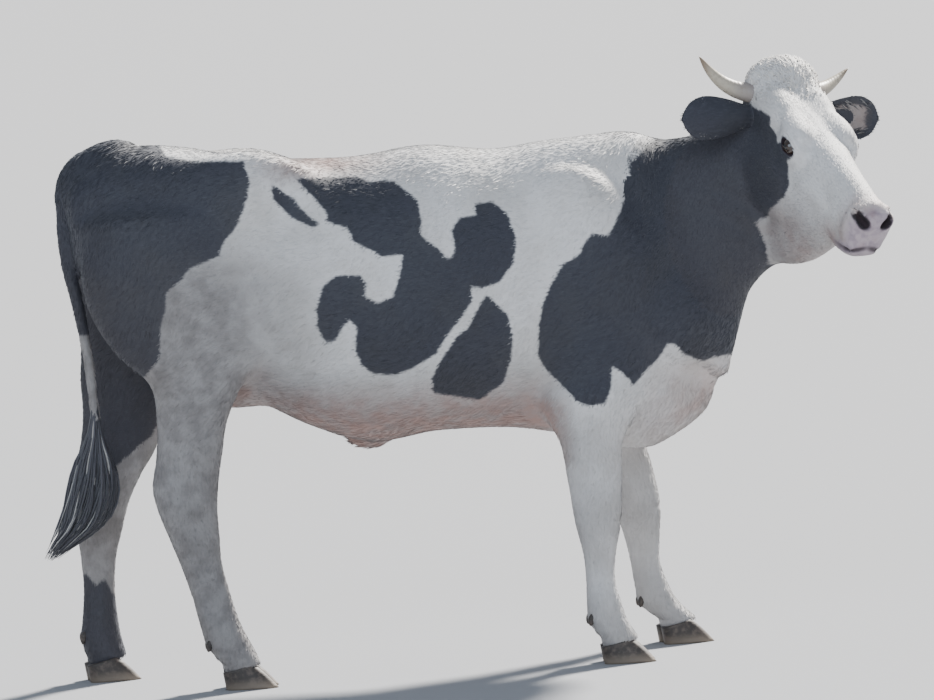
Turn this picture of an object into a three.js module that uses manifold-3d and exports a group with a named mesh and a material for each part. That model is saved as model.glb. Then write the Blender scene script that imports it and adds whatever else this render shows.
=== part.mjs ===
// A young black-and-white heifer at life size, standing square with its head
// turned to its right. Millimetres: X runs forward, Y to the animal's left,
// Z up, and the floor is at z = 0.
import * as THREE from 'three';
import Module from 'manifold-3d';

const manifold = await Module();
manifold.setup();
const { Manifold, Mesh: ManifoldMesh } = manifold;

// ---------------------------------------------------------------- driving sizes

const GAP = 0.5; // air left between neighbouring solids
const SLIVER = 0.1; // facets thinner than this are merged
const CENTRE_X = 151.55; // middle of the whole animal, moved to the origin at the end
const CENTRE_Y = -138.75;

// Head pose: the head turns to the right, hangs down and tips a little.
const HEAD_TURN = 70;
const HEAD_DROP = 34;
const HEAD_TILT = 4;
const POLL = [944, -160, 1350]; // middle of the forehead, between the horns

// Neck pose, at its root between the shoulders.
const NECK_TURN = 19;
const NECK_RISE = 42;
const NECK_ROOT = [640, 0, 930];

const EYE_RADIUS = 21;
const EYE_AT = [203, 82, -36]; // forward, to the side, up from the poll
const HORN_RADIUS = 25;
const EAR_THICKNESS = 13;

const CLAW_LENGTH = 124;
const CLAW_WIDTH = 49;
const CLAW_SPLIT = 6; // gap between the two claws of a foot
const CORONET_FRONT = 74; // height of the hair line at the toe
const CORONET_HEEL = 42;
const TOE_ANGLE = 52;

// Facet sizes of the fleshy solids.
const TRUNK_CELL = [68, 64, 64];
const NECK_CELL = [46, 46, 46];
const HEAD_CELL = [32, 32, 32];
const LEG_CELL = [30, 30, 56];

// ---------------------------------------------------------------- vectors

const radians = (angle) => angle * Math.PI / 180;
const dot = (a, b) => a[0] * b[0] + a[1] * b[1] + a[2] * b[2];
const minus = (a, b) => [a[0] - b[0], a[1] - b[1], a[2] - b[2]];
const cross = (a, b) => [
  a[1] * b[2] - a[2] * b[1],
  a[2] * b[0] - a[0] * b[2],
  a[0] * b[1] - a[1] * b[0],
];
// The point that lies `along`, `side` and `up` from a frame's origin.
const place = (frame, [along, side, up]) => [0, 1, 2].map((i) => (
  frame.origin[i] + along * frame.along[i] + side * frame.side[i] + up * frame.up[i]
));

// A frame whose first axis is turned right, dropped and tipped by three angles.
function turnedFrame(origin, turn, drop, tilt) {
  const [ct, st] = [Math.cos(radians(turn)), Math.sin(radians(turn))];
  const [cd, sd] = [Math.cos(radians(drop)), Math.sin(radians(drop))];
  const along = [cd * ct, -cd * st, -sd];
  const level = [st, ct, 0];
  const crown = cross(along, level);
  const [cr, sr] = [Math.cos(radians(tilt)), Math.sin(radians(tilt))];
  const side = [0, 1, 2].map((i) => cr * level[i] - sr * crown[i]);
  const up = [0, 1, 2].map((i) => sr * level[i] + cr * crown[i]);
  return { origin, along, side, up };
}

const BODY = { origin: [0, 0, 0], along: [1, 0, 0], side: [0, 1, 0], up: [0, 0, 1] };
const STANDING = { origin: [0, 0, 0], along: [0, 0, 1], side: [0, 1, 0], up: [1, 0, 0] };
const HEAD = turnedFrame(POLL, HEAD_TURN, HEAD_DROP, HEAD_TILT);
const NECK = turnedFrame(NECK_ROOT, NECK_TURN, -NECK_RISE, 0);

// ---------------------------------------------------------------- field of flesh

// Smoothly varying row of numbers between the rows of a table whose first
// column rises.
function rowAt(rows, s) {
  const last = rows.length - 1;
  const at = Math.min(Math.max(s, rows[0][0]), rows[last][0]);
  let i = 0;
  while (i < last - 1 && rows[i + 1][0] < at) i += 1;
  const [a, b] = [rows[i], rows[i + 1]];
  const [before, after] = [rows[Math.max(i - 1, 0)], rows[Math.min(i + 2, last)]];
  const span = b[0] - a[0];
  const t = (at - a[0]) / span;
  return a.map((value, c) => {
    const slopeA = (b[c] - before[c]) / (b[0] - before[0]) * span;
    const slopeB = (after[c] - a[c]) / (after[0] - a[0]) * span;
    return (2 * t ** 3 - 3 * t ** 2 + 1) * value + (t ** 3 - 2 * t ** 2 + t) * slopeA
      + (3 * t ** 2 - 2 * t ** 3) * b[c] + (t ** 3 - t ** 2) * slopeB;
  });
}

// Distance outward along the ray from a mass's middle, given the offset and the
// half sizes in its direction.
function radialDistance(offset, halves, power) {
  let sum = 0;
  for (let i = 0; i < 3; i += 1) sum += Math.abs(offset[i] / halves[i]) ** power;
  const reach = Math.max(sum ** (1 / power), 1e-6);
  return Math.hypot(...offset) * (1 - 1 / reach);
}

// A long mass: each row is [along, middle up, middle side, half size up, half
// size down, half width, squareness], and both ends are rounded by `cap`.
function stack(frame, rows, cap, blend) {
  return {
    blend,
    distance(point) {
      const from = minus(point, frame.origin);
      const along = dot(from, frame.along);
      const [s, up, side, above, below, width, power] = rowAt(rows, along);
      const offset = [along - s, dot(from, frame.up) - up, dot(from, frame.side) - side];
      return radialDistance(offset, [cap, offset[1] > 0 ? above : below, width], power);
    },
  };
}

// A rounded mass at `at` with half sizes along, to the side and up. `lean`
// turns it about the side axis.
function mass(frame, at, halves, blend, lean = 0) {
  const [c, s] = [Math.cos(radians(lean)), Math.sin(radians(lean))];
  const middle = place(frame, at);
  return {
    blend,
    distance(point) {
      const from = minus(point, middle);
      const [along, side, up] = [frame.along, frame.side, frame.up].map((axis) => dot(from, axis));
      const offset = [c * along + s * up, side, c * up - s * along];
      return radialDistance(offset, halves, 2);
    },
  };
}

// The same mass on both sides of a frame.
const pair = (frame, [along, side, up], halves, blend, lean) => [-1, 1].map((sign) => (
  mass(frame, [along, sign * side, up], halves, blend, lean)
));

function smoothMinimum(a, b, blend) {
  const overlap = Math.max(blend - Math.abs(a - b), 0) / Math.max(blend, 1e-6);
  return Math.min(a, b) - overlap * overlap * blend / 4;
}

// One field for the masses, less the hollows.
function fieldOf(masses, hollows = []) {
  return (point) => {
    let distance = 1e6;
    for (const part of masses) distance = smoothMinimum(distance, part.distance(point), part.blend);
    for (const part of hollows) distance = -smoothMinimum(-distance, part.distance(point), part.blend);
    return distance;
  };
}

// ---------------------------------------------------------------- trunk and neck

// [x, middle height, -, up, down, half width, squareness]
const TRUNK_ROWS = [
  [-735, 1090, 0, 130, 110, 95, 2.4],
  [-690, 1060, 0, 222, 170, 150, 2.5],
  [-600, 1030, 0, 264, 230, 180, 2.5],
  [-480, 1010, 0, 273, 280, 200, 2.5],
  [-350, 990, 0, 262, 325, 205, 2.4],
  [-220, 950, 0, 292, 355, 232, 2.2],
  [-80, 910, 0, 330, 360, 258, 2.1],
  [80, 890, 0, 367, 324, 268, 2.1],
  [250, 880, 0, 359, 317, 240, 2.1],
  [380, 870, 0, 382, 330, 205, 2.1],
  [500, 860, 0, 396, 358, 188, 2],
  [600, 850, 0, 392, 350, 165, 2],
  [682, 840, 0, 310, 266, 122, 2],
  [735, 830, 0, 220, 168, 78, 2],
];
// [along the neck, middle up, middle side, up, down, half width, squareness]
const NECK_ROWS = [
  [-60, 0, 0, 320, 290, 160, 2],
  [100, 0, 0, 298, 200, 124, 2],
  [200, 0, 0, 226, 188, 105, 2],
  [300, 0, 0, 160, 178, 95, 2],
  [390, 0, 0, 145, 160, 90, 2],
];
const TRUNK = [
  stack(BODY, TRUNK_ROWS, 45, 0),
  stack(NECK, NECK_ROWS, 60, 90),
  ...pair(BODY, [470, 140, 960], [120, 62, 230], 60, 20), // shoulder blades
  ...pair(BODY, [655, 112, 810], [85, 66, 100], 60), // points of the shoulder
  ...pair(BODY, [455, 140, 680], [115, 65, 130], 60, -20), // upper arms
  ...pair(BODY, [-345, 134, 1192], [112, 52, 66], 110), // hooks
  ...pair(BODY, [-715, 78, 1160], [60, 50, 75], 50), // pins
  mass(BODY, [-690, 0, 1212], [90, 36, 66], 50), // root of the tail
  mass(BODY, [628, 0, 652], [130, 86, 122], 60), // brisket
];
const HOLLOWS = [
  ...pair(BODY, [-250, 292, 1130], [100, 62, 70], 70), // flank below the loin
  ...pair(BODY, [-540, 275, 1235], [120, 70, 60], 60), // between hook and pin
];

// ---------------------------------------------------------------- legs

// [height, x, y, half size forward, half size back, half width, squareness]
const LEGS = {
  foreleg_right: {
    rows: [
      [60, 472, -155, 48, 46, 50, 2.3],
      [100, 447, -155, 50, 48, 46, 2.2],
      [140, 438, -155, 47, 42, 42, 2],
      [200, 435, -153, 38, 38, 31, 2],
      [260, 436, -152, 42, 42, 34, 2],
      [340, 437, -150, 58, 58, 50, 2.2],
      [430, 435, -148, 67, 67, 54, 2],
      [530, 430, -145, 78, 76, 64, 2],
      [640, 430, -140, 100, 110, 70, 2],
    ],
    toe: [557, -158],
    turn: 4,
  },
  foreleg_left: {
    rows: [
      [60, 655, 158, 50, 46, 50, 2.3],
      [100, 614, 158, 52, 50, 46, 2.2],
      [140, 597, 157, 47, 42, 42, 2],
      [200, 585, 156, 40, 38, 31, 2],
      [260, 580, 154, 47, 44, 34, 2],
      [340, 572, 152, 60, 58, 50, 2.2],
      [430, 550, 148, 68, 67, 54, 2],
      [530, 515, 145, 78, 76, 64, 2],
      [640, 470, 140, 100, 110, 70, 2],
    ],
    toe: [740, 165],
    turn: -6,
  },
  hindleg_right: {
    rows: [
      [60, -434, -168, 50, 48, 48, 2.3],
      [100, -461, -166, 58, 52, 45, 2.2],
      [150, -478, -166, 52, 50, 42, 2],
      [220, -496, -166, 50, 47, 30, 2],
      [300, -515, -165, 52, 52, 33, 2],
      [360, -526, -164, 61, 62, 42, 2],
      [430, -539, -162, 73, 73, 47, 2],
      [490, -540, -160, 80, 82, 46, 2],
      [555, -529, -158, 81, 81, 50, 2],
      [640, -517, -154, 88, 86, 56, 2],
      [730, -505, -150, 120, 110, 70, 2],
      [810, -525, -145, 185, 165, 80, 2.2],
      [900, -552, -140, 195, 190, 88, 2.2],
      [1000, -568, -128, 190, 192, 94, 2.2],
      [1110, -580, -105, 160, 165, 100, 2.2],
    ],
    toe: [-348, -170],
    turn: 5,
  },
  hindleg_left: {
    rows: [
      [60, -738, 168, 52, 50, 48, 2.3],
      [100, -750, 166, 54, 50, 45, 2.2],
      [150, -750, 166, 48, 44, 42, 2],
      [220, -748, 166, 43, 39, 30, 2],
      [300, -743, 165, 46, 46, 33, 2],
      [360, -738, 164, 58, 58, 42, 2],
      [430, -733, 162, 74, 76, 47, 2],
      [490, -713, 160, 84, 95, 46, 2],
      [555, -680, 158, 92, 100, 50, 2],
      [640, -655, 154, 100, 110, 56, 2],
      [730, -625, 150, 130, 140, 70, 2],
      [810, -595, 145, 180, 165, 80, 2.2],
      [900, -575, 140, 190, 190, 88, 2.2],
      [1000, -572, 128, 190, 192, 94, 2.2],
      [1110, -580, 105, 160, 165, 100, 2.2],
    ],
    toe: [-660, 172],
    turn: -5,
  },
};
const UDDER = [
  mass(BODY, [-395, 0, 705], [90, 75, 55], 40),
  mass(BODY, [-85, 0, 560], [48, 14, 26], 24), // navel fold
];
const legMasses = Object.values(LEGS).map(({ rows }) => stack(STANDING, rows, 40, 55));

// ---------------------------------------------------------------- head

// [forward, middle up, middle side, up, down, half width, squareness]
const HEAD_ROWS = [
  [-28, -100, 0, 92, 100, 80, 2.2],
  [56, -105, 0, 112, 130, 91, 2.4],
  [144, -108, 0, 118, 140, 89, 2.4],
  [232, -102, 0, 106, 128, 78, 2.4],
  [320, -92, 0, 90, 108, 63, 2.4],
  [408, -85, 0, 79, 86, 53, 2.4],
  [472, -84, 0, 72, 74, 54, 2.4],
  [490, -86, 0, 62, 60, 52, 2.4],
];
const HEAD_MASSES = [
  stack(HEAD, HEAD_ROWS, 18, 40),
  mass(HEAD, [-32, 5, -16], [66, 97, 71], 60), // curly mound on the poll
  ...pair(HEAD, [70, 56, -26], [76, 38, 44], 40), // temples
  ...pair(HEAD, [192, 73, -42], [54, 28, 42], 26), // orbits
  ...pair(HEAD, [168, 56, -6], [54, 32, 22], 24), // brows
  ...pair(HEAD, [140, 54, -160], [98, 36, 90], 40), // cheeks
  ...pair(HEAD, [278, 50, -92], [84, 17, 24], 26), // facial crests
  mass(HEAD, [470, 0, -72], [34, 60, 56], 24), // muzzle
  ...pair(HEAD, [478, 33, -52], [28, 26, 30], 14), // nostril wings
  mass(HEAD, [438, 0, -140], [52, 44, 30], 22), // chin
  mass(HEAD, [246, 0, -256], [160, 44, 74], 70, 42), // loose skin of the throat
];

const FLESH = fieldOf([...TRUNK, ...legMasses, ...UDDER, ...HEAD_MASSES], HOLLOWS);

// ---------------------------------------------------------------- polygons

// Closed triangle mesh of the field's surface inside a box, from one vertex in
// each cell that the surface crosses.
function skinNet(field, low, high, cell) {
  const count = cell.map((size, i) => Math.ceil((high[i] - low[i]) / size) + 1);
  const start = low.map((value, i) => (value + high[i] - (count[i] - 1) * cell[i]) / 2);
  const boxed = (p) => Math.max(field(p), ...p.map((v, i) => (
    Math.abs(v - (low[i] + high[i]) / 2) - (count[i] - 1) * cell[i] / 2 + cell[i] * 0.3
  )));
  const corner = (i, j, k) => [start[0] + i * cell[0], start[1] + j * cell[1], start[2] + k * cell[2]];
  const key = (i, j, k) => (i * count[1] + j) * count[2] + k;
  const values = new Float64Array(count[0] * count[1] * count[2]);
  for (let i = 0; i < count[0]; i += 1) {
    for (let j = 0; j < count[1]; j += 1) {
      for (let k = 0; k < count[2]; k += 1) values[key(i, j, k)] = boxed(corner(i, j, k));
    }
  }
  const vertices = [];
  const vertexOf = new Map();
  const edges = [];
  for (let c = 0; c < 8; c += 1) {
    for (let axis = 0; axis < 3; axis += 1) {
      if (!(c & (1 << axis))) edges.push([c, c | (1 << axis)]);
    }
  }
  const bits = (c) => [c & 1, (c >> 1) & 1, (c >> 2) & 1];
  for (let i = 0; i < count[0] - 1; i += 1) {
    for (let j = 0; j < count[1] - 1; j += 1) {
      for (let k = 0; k < count[2] - 1; k += 1) {
        const sum = [0, 0, 0];
        let crossings = 0;
        for (const [a, b] of edges) {
          const [p, q] = [bits(a), bits(b)];
          const va = values[key(i + p[0], j + p[1], k + p[2])];
          const vb = values[key(i + q[0], j + q[1], k + q[2])];
          if (va < 0 === vb < 0) continue;
          const t = va / (va - vb);
          for (let n = 0; n < 3; n += 1) sum[n] += p[n] + t * (q[n] - p[n]);
          crossings += 1;
        }
        if (crossings === 0) continue;
        const base = corner(i, j, k);
        const rest = sum.map((v, n) => base[n] + v / crossings * cell[n]);
        vertexOf.set(key(i, j, k), vertices.length);
        vertices.push(settle(boxed, rest, base, cell));
      }
    }
  }
  const triangles = [];
  const addQuad = (a, b, c, d) => {
    const far = (p, q) => Math.hypot(...minus(vertices[p], vertices[q]));
    if (far(a, c) < far(b, d)) triangles.push([a, b, c], [a, c, d]);
    else triangles.push([a, b, d], [b, c, d]);
  };
  for (let i = 0; i < count[0]; i += 1) {
    for (let j = 0; j < count[1]; j += 1) {
      for (let k = 0; k < count[2]; k += 1) {
        const here = values[key(i, j, k)] < 0;
        for (let axis = 0; axis < 3; axis += 1) {
          const next = [i, j, k];
          next[axis] += 1;
          if (next[axis] >= count[axis] || here === values[key(...next)] < 0) continue;
          const [u, v] = [(axis + 1) % 3, (axis + 2) % 3];
          const around = [[0, 0], [-1, 0], [-1, -1], [0, -1]].map(([du, dv]) => {
            const cellAt = [i, j, k];
            cellAt[u] += du;
            cellAt[v] += dv;
            return vertexOf.get(key(...cellAt));
          });
          if (here) addQuad(...around);
          else addQuad(...around.reverse());
        }
      }
    }
  }
  return { vertices, triangles };
}

// True where two sheets of the net meet along one edge.
function isPinched({ triangles }) {
  const uses = new Map();
  for (const triangle of triangles) {
    triangle.forEach((a, n) => {
      const b = triangle[(n + 1) % 3];
      const edge = `${Math.min(a, b)} ${Math.max(a, b)}`;
      uses.set(edge, (uses.get(edge) ?? 0) + 1);
    });
  }
  return [...uses.values()].some((count) => count !== 2);
}

// The flesh inside a box as a closed solid. Its grid is moved on until no
// edge is pinched.
const GRID_STEP = 3;
function fleshIn(low, high, cell) {
  let from = low;
  let net = skinNet(FLESH, from, high, cell);
  while (isPinched(net)) {
    from = from.map((value) => value - GRID_STEP);
    net = skinNet(FLESH, from, high, cell);
  }
  return solidOf(net);
}

const MARGIN = 0.03; // share of a cell kept free beside its walls
// The point moved onto the field's surface, kept inside its own cell.
function settle(field, point, base, cell) {
  const step = 0.5;
  let p = point;
  for (let round = 0; round < 3; round += 1) {
    const value = field(p);
    const slope = [0, 1, 2].map((n) => {
      const q = [...p];
      q[n] += step;
      return (field(q) - value) / step;
    });
    const size = Math.max(dot(slope, slope), 0.05);
    p = p.map((v, n) => {
      const moved = v - value * slope[n] / size;
      return Math.min(Math.max(moved, base[n] + MARGIN * cell[n]), base[n] + (1 - MARGIN) * cell[n]);
    });
  }
  return p;
}

// ---------------------------------------------------------------- solids

function solidOf({ vertices, triangles }) {
  const mesh = new ManifoldMesh({
    numProp: 3,
    vertProperties: new Float32Array(vertices.flat()),
    triVerts: new Uint32Array(triangles.flat()),
  });
  return new Manifold(mesh);
}

function geometryOf(solid) {
  const mesh = solid.getMesh();
  const geometry = new THREE.BufferGeometry();
  geometry.setAttribute('position', new THREE.BufferAttribute(mesh.vertProperties, 3));
  geometry.setIndex(new THREE.BufferAttribute(mesh.triVerts, 1));
  return geometry;
}

// Closed solid through rings of equal length, closed by a flat face at each end.
function ringSolid(rings) {
  const size = rings[0].length;
  const vertices = rings.flat();
  const triangles = [];
  for (let r = 0; r < rings.length - 1; r += 1) {
    for (let n = 0; n < size; n += 1) {
      const m = (n + 1) % size;
      const [a, b, c, d] = [r * size + n, r * size + m, (r + 1) * size + m, (r + 1) * size + n];
      triangles.push([a, b, c], [a, c, d]);
    }
  }
  for (const [ring, flip] of [[0, true], [rings.length - 1, false]]) {
    for (let n = 1; n < size - 1; n += 1) {
      const face = [ring * size, ring * size + n, ring * size + n + 1];
      triangles.push(flip ? face.reverse() : face);
    }
  }
  return solidOf({ vertices, triangles });
}

// Closed rounded solid with three half sizes and small flats at its poles.
const EGG_REACH = 0.88 * Math.PI; // from one flat to the other, as an angle
function egg(at, halves, bands, steps) {
  const rings = [];
  for (let r = 0; r <= bands; r += 1) {
    const tilt = (r / bands - 0.5) * EGG_REACH;
    const ring = [];
    for (let n = 0; n < steps; n += 1) {
      const angle = 2 * Math.PI * n / steps;
      ring.push([
        at[0] + halves[0] * Math.cos(tilt) * Math.cos(angle),
        at[1] + halves[1] * Math.cos(tilt) * Math.sin(angle),
        at[2] + halves[2] * Math.sin(tilt) / Math.sin(EGG_REACH / 2),
      ]);
    }
    rings.push(ring);
  }
  return ringSolid(rings);
}

// The biggest body of a cut solid, without the slivers that the cuts leave.
function largest(solid) {
  const [body] = solid.decompose().sort((a, b) => b.volume() - a.volume());
  return body.simplify(SLIVER);
}

function block(low, high) {
  const ring = (z) => [[low[0], low[1], z], [high[0], low[1], z], [high[0], high[1], z], [low[0], high[1], z]];
  return ringSolid([ring(low[2]), ring(high[2])]);
}

// ---------------------------------------------------------------- build

const cow = new THREE.Group();
const colours = { black: 0x3d4048, white: 0xd9d7d2, pink: 0xc9a9a2, horn: 0xb9b2a2, hoof: 0x4a4442 };

function add(name, solid, colour, roughness = 0.85) {
  const material = new THREE.MeshStandardMaterial({ color: colour, roughness, metalness: 0 });
  const mesh = new THREE.Mesh(geometryOf(solid), material);
  mesh.name = name;
  cow.add(mesh);
}

const legBox = {
  foreleg_right: [[330, -260, -20], [525, -62, 560]],
  foreleg_left: [[420, 62, -20], [800, 260, 560]],
  hindleg_right: [[-660, -260, -20], [-395, -50, 682]],
  hindleg_left: [[-860, 50, -20], [-480, 260, 682]],
};
const grown = ([low, high], by) => [low.map((v) => v - by), high.map((v) => v + by)];

// ---- feet

// A foot's frame: its toe touches the floor and it points nearly forward.
function footFrame({ toe, turn }) {
  return turnedFrame([toe[0], toe[1], 0], turn, 0, 0);
}

// Height of the hair line `back` millimetres behind the toe.
const CORONET_SLOPE = (CORONET_FRONT - CORONET_HEEL) / CLAW_LENGTH;
const coronetHeight = (back) => CORONET_FRONT - CORONET_SLOPE * back;

// One claw: a flat sole, a sloping front wall and a slanting hair line.
function claw(foot, side, grow = 0) {
  const steps = 12;
  const rings = [];
  const rake = CORONET_FRONT / Math.tan(radians(TOE_ANGLE));
  for (const rise of [0, 0.35, 0.7, 1]) {
    const ring = [];
    const length = CLAW_LENGTH - rake * rise + 6 * rise;
    const width = CLAW_WIDTH * (1 - 0.06 * rise);
    for (let n = 0; n < steps; n += 1) {
      const angle = 2 * Math.PI * n / steps;
      const blunt = Math.sign(Math.cos(angle)) * Math.abs(Math.cos(angle)) ** 0.85;
      const along = (blunt - 1) / 2 * length - rake * rise;
      const inner = Math.sin(angle) * side < 0;
      const bulge = Math.sign(Math.sin(angle)) * Math.abs(Math.sin(angle)) ** (inner ? 0.45 : 0.8);
      const across = bulge * width / 2 + side * (CLAW_WIDTH + CLAW_SPLIT) / 2;
      const up = rise * coronetHeight(-along);
      ring.push(place(foot, [along + grow * Math.cos(angle), across + grow * Math.sin(angle), up]));
    }
    rings.push(ring);
  }
  return ringSolid(rings);
}

// A dewclaw behind the fetlock, half sunk in the leg.
const DEWCLAW_HEIGHT = 108;
const DEWCLAW_SUNK = 8;
const DEWCLAW_SPREAD = 21; // each side of the leg's middle
const DEWCLAW_HALVES = [15, 11, 19];
function dewclaw(rows, side, grow = 0) {
  const [, x, y, , back] = rowAt(rows, DEWCLAW_HEIGHT);
  const at = [x - back + DEWCLAW_SUNK, y + side * DEWCLAW_SPREAD, DEWCLAW_HEIGHT];
  return egg(at, DEWCLAW_HALVES.map((half) => half + grow), 3, 6);
}

for (const [name, leg] of Object.entries(LEGS)) {
  const [low, high] = grown(legBox[name], 30);
  const foot = footFrame(leg);
  const raw = fleshIn(low, high, LEG_CELL);
  const coronet = [CORONET_SLOPE * -foot.along[0], CORONET_SLOPE * -foot.along[1], 1];
  const size = Math.hypot(...coronet);
  const normal = coronet.map((v) => v / size);
  const level = dot([foot.origin[0], foot.origin[1], CORONET_FRONT], normal);
  let limb = raw.intersect(block(...legBox[name])).trimByPlane(normal, level + GAP);
  for (const side of [-1, 1]) {
    limb = limb.subtract(dewclaw(leg.rows, side, GAP));
    const which = side * foot.origin[1] > 0 ? 'outer' : 'inner';
    add(`claw_${name}_${which}`, claw(foot, side), colours.hoof, 0.6);
    add(`dewclaw_${name}_${which}`, dewclaw(leg.rows, side), colours.hoof, 0.6);
  }
  add(name, largest(limb), colours.white);
}

// ---- ears, horns and eyes

// Smooth path through a few places, as a three.js curve.
const pathThrough = (places) => new THREE.CatmullRomCurve3(places.map((p) => new THREE.Vector3(...p)));

// A tapering round solid along a path; `radius` gives its half size at 0 to 1.
function rod(path, radius, rings, steps, grow = 0) {
  const list = [];
  const frames = path.computeFrenetFrames(rings, false);
  for (let r = 0; r <= rings; r += 1) {
    const at = path.getPointAt(r / rings);
    at.addScaledVector(frames.tangents[r], grow * (2 * r / rings - 1));
    const size = radius(r / rings) + grow;
    const ring = [];
    for (let n = 0; n < steps; n += 1) {
      const angle = 2 * Math.PI * n / steps;
      const p = at.clone()
        .addScaledVector(frames.normals[r], size * Math.cos(angle))
        .addScaledVector(frames.binormals[r], size * Math.sin(angle));
      ring.push(p.toArray());
    }
    list.push(ring);
  }
  return ringSolid(list);
}

// Tip height of each horn above the poll: they have grown unevenly.
const HORN_LIFT = { right: 58, left: 24 };

function horn(name, side, grow = 0) {
  const places = [];
  for (let t = 0; t <= 1; t += 0.25) {
    const along = -8 - 74 * t;
    const out = 58 + 157 * t ** 0.9;
    const up = -28 - 12 * Math.sin(Math.PI * t) + HORN_LIFT[name] * t * t;
    places.push(place(HEAD, [along, side * out, up]));
  }
  const radius = (t) => HORN_RADIUS * (1 - t) ** 0.75 + 2;
  return rod(pathThrough(places), radius, 7, 8, grow);
}

// [share of the length, half width, depth of the cup]
const EAR_ROWS = [
  [0, 24, 3],
  [0.2, 33, 16],
  [0.45, 49, 20],
  [0.7, 56, 16],
  [0.88, 45, 9],
  [0.97, 27, 4],
  [1, 13, 2],
];
const EAR_ROOT = [26, 68, -68];
const EAR_TIP = [20, 275, -82];
// Which way each ear opens, turned up from the muzzle: the left ear listens
// forward, the right ear is laid back.
const EAR_OPENS = { right: 214, left: 30 };

function ear(name, side, grow = 0) {
  const root = place(HEAD, [EAR_ROOT[0], side * EAR_ROOT[1], EAR_ROOT[2]]);
  const tip = place(HEAD, [EAR_TIP[0], side * EAR_TIP[1], EAR_TIP[2]]);
  const along = new THREE.Vector3(...minus(tip, root));
  const length = along.length() + 2 * grow;
  along.normalize();
  const turn = radians(EAR_OPENS[name]);
  const open = new THREE.Vector3(...HEAD.along).multiplyScalar(Math.cos(turn));
  open.addScaledVector(new THREE.Vector3(...HEAD.up), Math.sin(turn));
  open.addScaledVector(along, -open.dot(along)).normalize();
  const across = new THREE.Vector3().crossVectors(open, along);
  const [bands, steps] = [8, 12];
  const rings = [];
  for (let r = 0; r <= bands; r += 1) {
    const t = r / bands;
    const [, width, cup] = rowAt(EAR_ROWS, t);
    const thick = EAR_THICKNESS * (1.25 - 0.6 * t) / 2 + grow;
    const ring = [];
    for (let n = 0; n < steps; n += 1) {
      const angle = 2 * Math.PI * n / steps;
      const w = Math.cos(angle);
      const p = new THREE.Vector3(...root)
        .addScaledVector(along, t * length - grow - 5 * w * w)
        .addScaledVector(across, w * (width + grow))
        .addScaledVector(open, cup * (w * w - 0.5) + thick * Math.sin(angle));
      ring.push(p.toArray());
    }
    rings.push(ring);
  }
  return ringSolid(rings);
}

function eye(side, grow = 0) {
  const at = place(HEAD, [EYE_AT[0], side * EYE_AT[1], EYE_AT[2]]);
  const radius = EYE_RADIUS + grow;
  return egg(at, [radius, radius, radius], 6, 8);
}

// ---- tail

// [x, y, z] down the middle of the tail
const TAIL_PATH = [
  [-655, 0, 1262], [-722, -6, 1248], [-766, -14, 1200], [-782, -20, 1130], [-782, -22, 1030],
  [-766, -22, 930], [-752, -22, 830], [-744, -22, 730], [-738, -23, 650],
];
const tailRadius = (t) => 15 + 22 * (1 - t) ** 2.2;
const tail = (grow = 0) => rod(pathThrough(TAIL_PATH), tailRadius, 12, 8, grow);

// [height, x, y, half size forward, half size to the side]
const SWITCH_ROWS = [
  [312, -874, -44, 7, 6],
  [345, -842, -40, 30, 18],
  [390, -792, -34, 58, 30],
  [440, -766, -30, 68, 36],
  [500, -752, -26, 64, 38],
  [560, -747, -24, 48, 32],
  [610, -741, -23, 28, 22],
  [665, -739, -23, 18, 18],
];
function tailSwitch() {
  const rings = [];
  const [bands, steps] = [9, 10];
  const [low, high] = [SWITCH_ROWS[0][0], SWITCH_ROWS.at(-1)[0]];
  for (let r = 0; r <= bands; r += 1) {
    const z = low + (high - low) * r / bands;
    const [, x, y, forward, side] = rowAt(SWITCH_ROWS, z);
    const ring = [];
    for (let n = 0; n < steps; n += 1) {
      const angle = 2 * Math.PI * n / steps;
      ring.push([x + forward * Math.cos(angle), y + side * Math.sin(angle), z]);
    }
    rings.push(ring);
  }
  return ringSolid(rings).subtract(tail(GAP));
}

let trunk = fleshIn([-820, -300, 460], [860, 300, 1330], TRUNK_CELL);
for (const box of Object.values(legBox)) trunk = trunk.subtract(block(...grown(box, GAP)));
const NECK_CUT = [0.86, 0, 0.51];
const NECK_CUT_AT = 1139;
trunk = trunk.trimByPlane(NECK_CUT.map((v) => -v), -NECK_CUT_AT);
trunk = trunk.subtract(tail(GAP));
add('trunk', largest(trunk), colours.black);
add('tail', tail(), colours.black);
add('tail_switch', tailSwitch(), colours.black);

let neck = fleshIn([540, -330, 560], [1100, 220, 1440], NECK_CELL);
neck = neck.trimByPlane(NECK_CUT, NECK_CUT_AT + GAP);
const NAPE_CUT = [0, 1, 2].map((i) => 0.735 * HEAD.along[i] + 0.678 * HEAD.up[i]);
const napeAt = dot(place(HEAD, [-78, 0, 0]), NAPE_CUT);
neck = neck.trimByPlane(NAPE_CUT.map((v) => -v), -napeAt);

let head = fleshIn([780, -720, 830], [1240, 80, 1480], HEAD_CELL);
head = head.trimByPlane(NAPE_CUT, napeAt + GAP);
for (const [name, side] of [['right', -1], ['left', 1]]) {
  for (const piece of [horn(name, side, GAP), ear(name, side, 2 * GAP), eye(side, GAP)]) {
    head = head.subtract(piece);
    neck = neck.subtract(piece);
  }
  add(`horn_${name}`, horn(name, side), colours.horn, 0.5);
  add(`ear_${name}`, largest(ear(name, side).subtract(horn(name, side, GAP))), colours.black);
  add(`eye_${name}`, eye(side), colours.hoof, 0.2);
}
add('neck', largest(neck), colours.white);
add('head', largest(head), colours.white);

cow.position.set(-CENTRE_X, -CENTRE_Y, 0);
export default cow;
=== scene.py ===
"""A young black-and-white heifer at life size: one skin under a short coat,
with hooves, horns, eyes and the long hair of the tail. Shapes are worked out
in millimetres, and each mesh is made in metres."""
import math

import bmesh
import bpy
import numpy as np
from mathutils import Matrix, Vector


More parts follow.
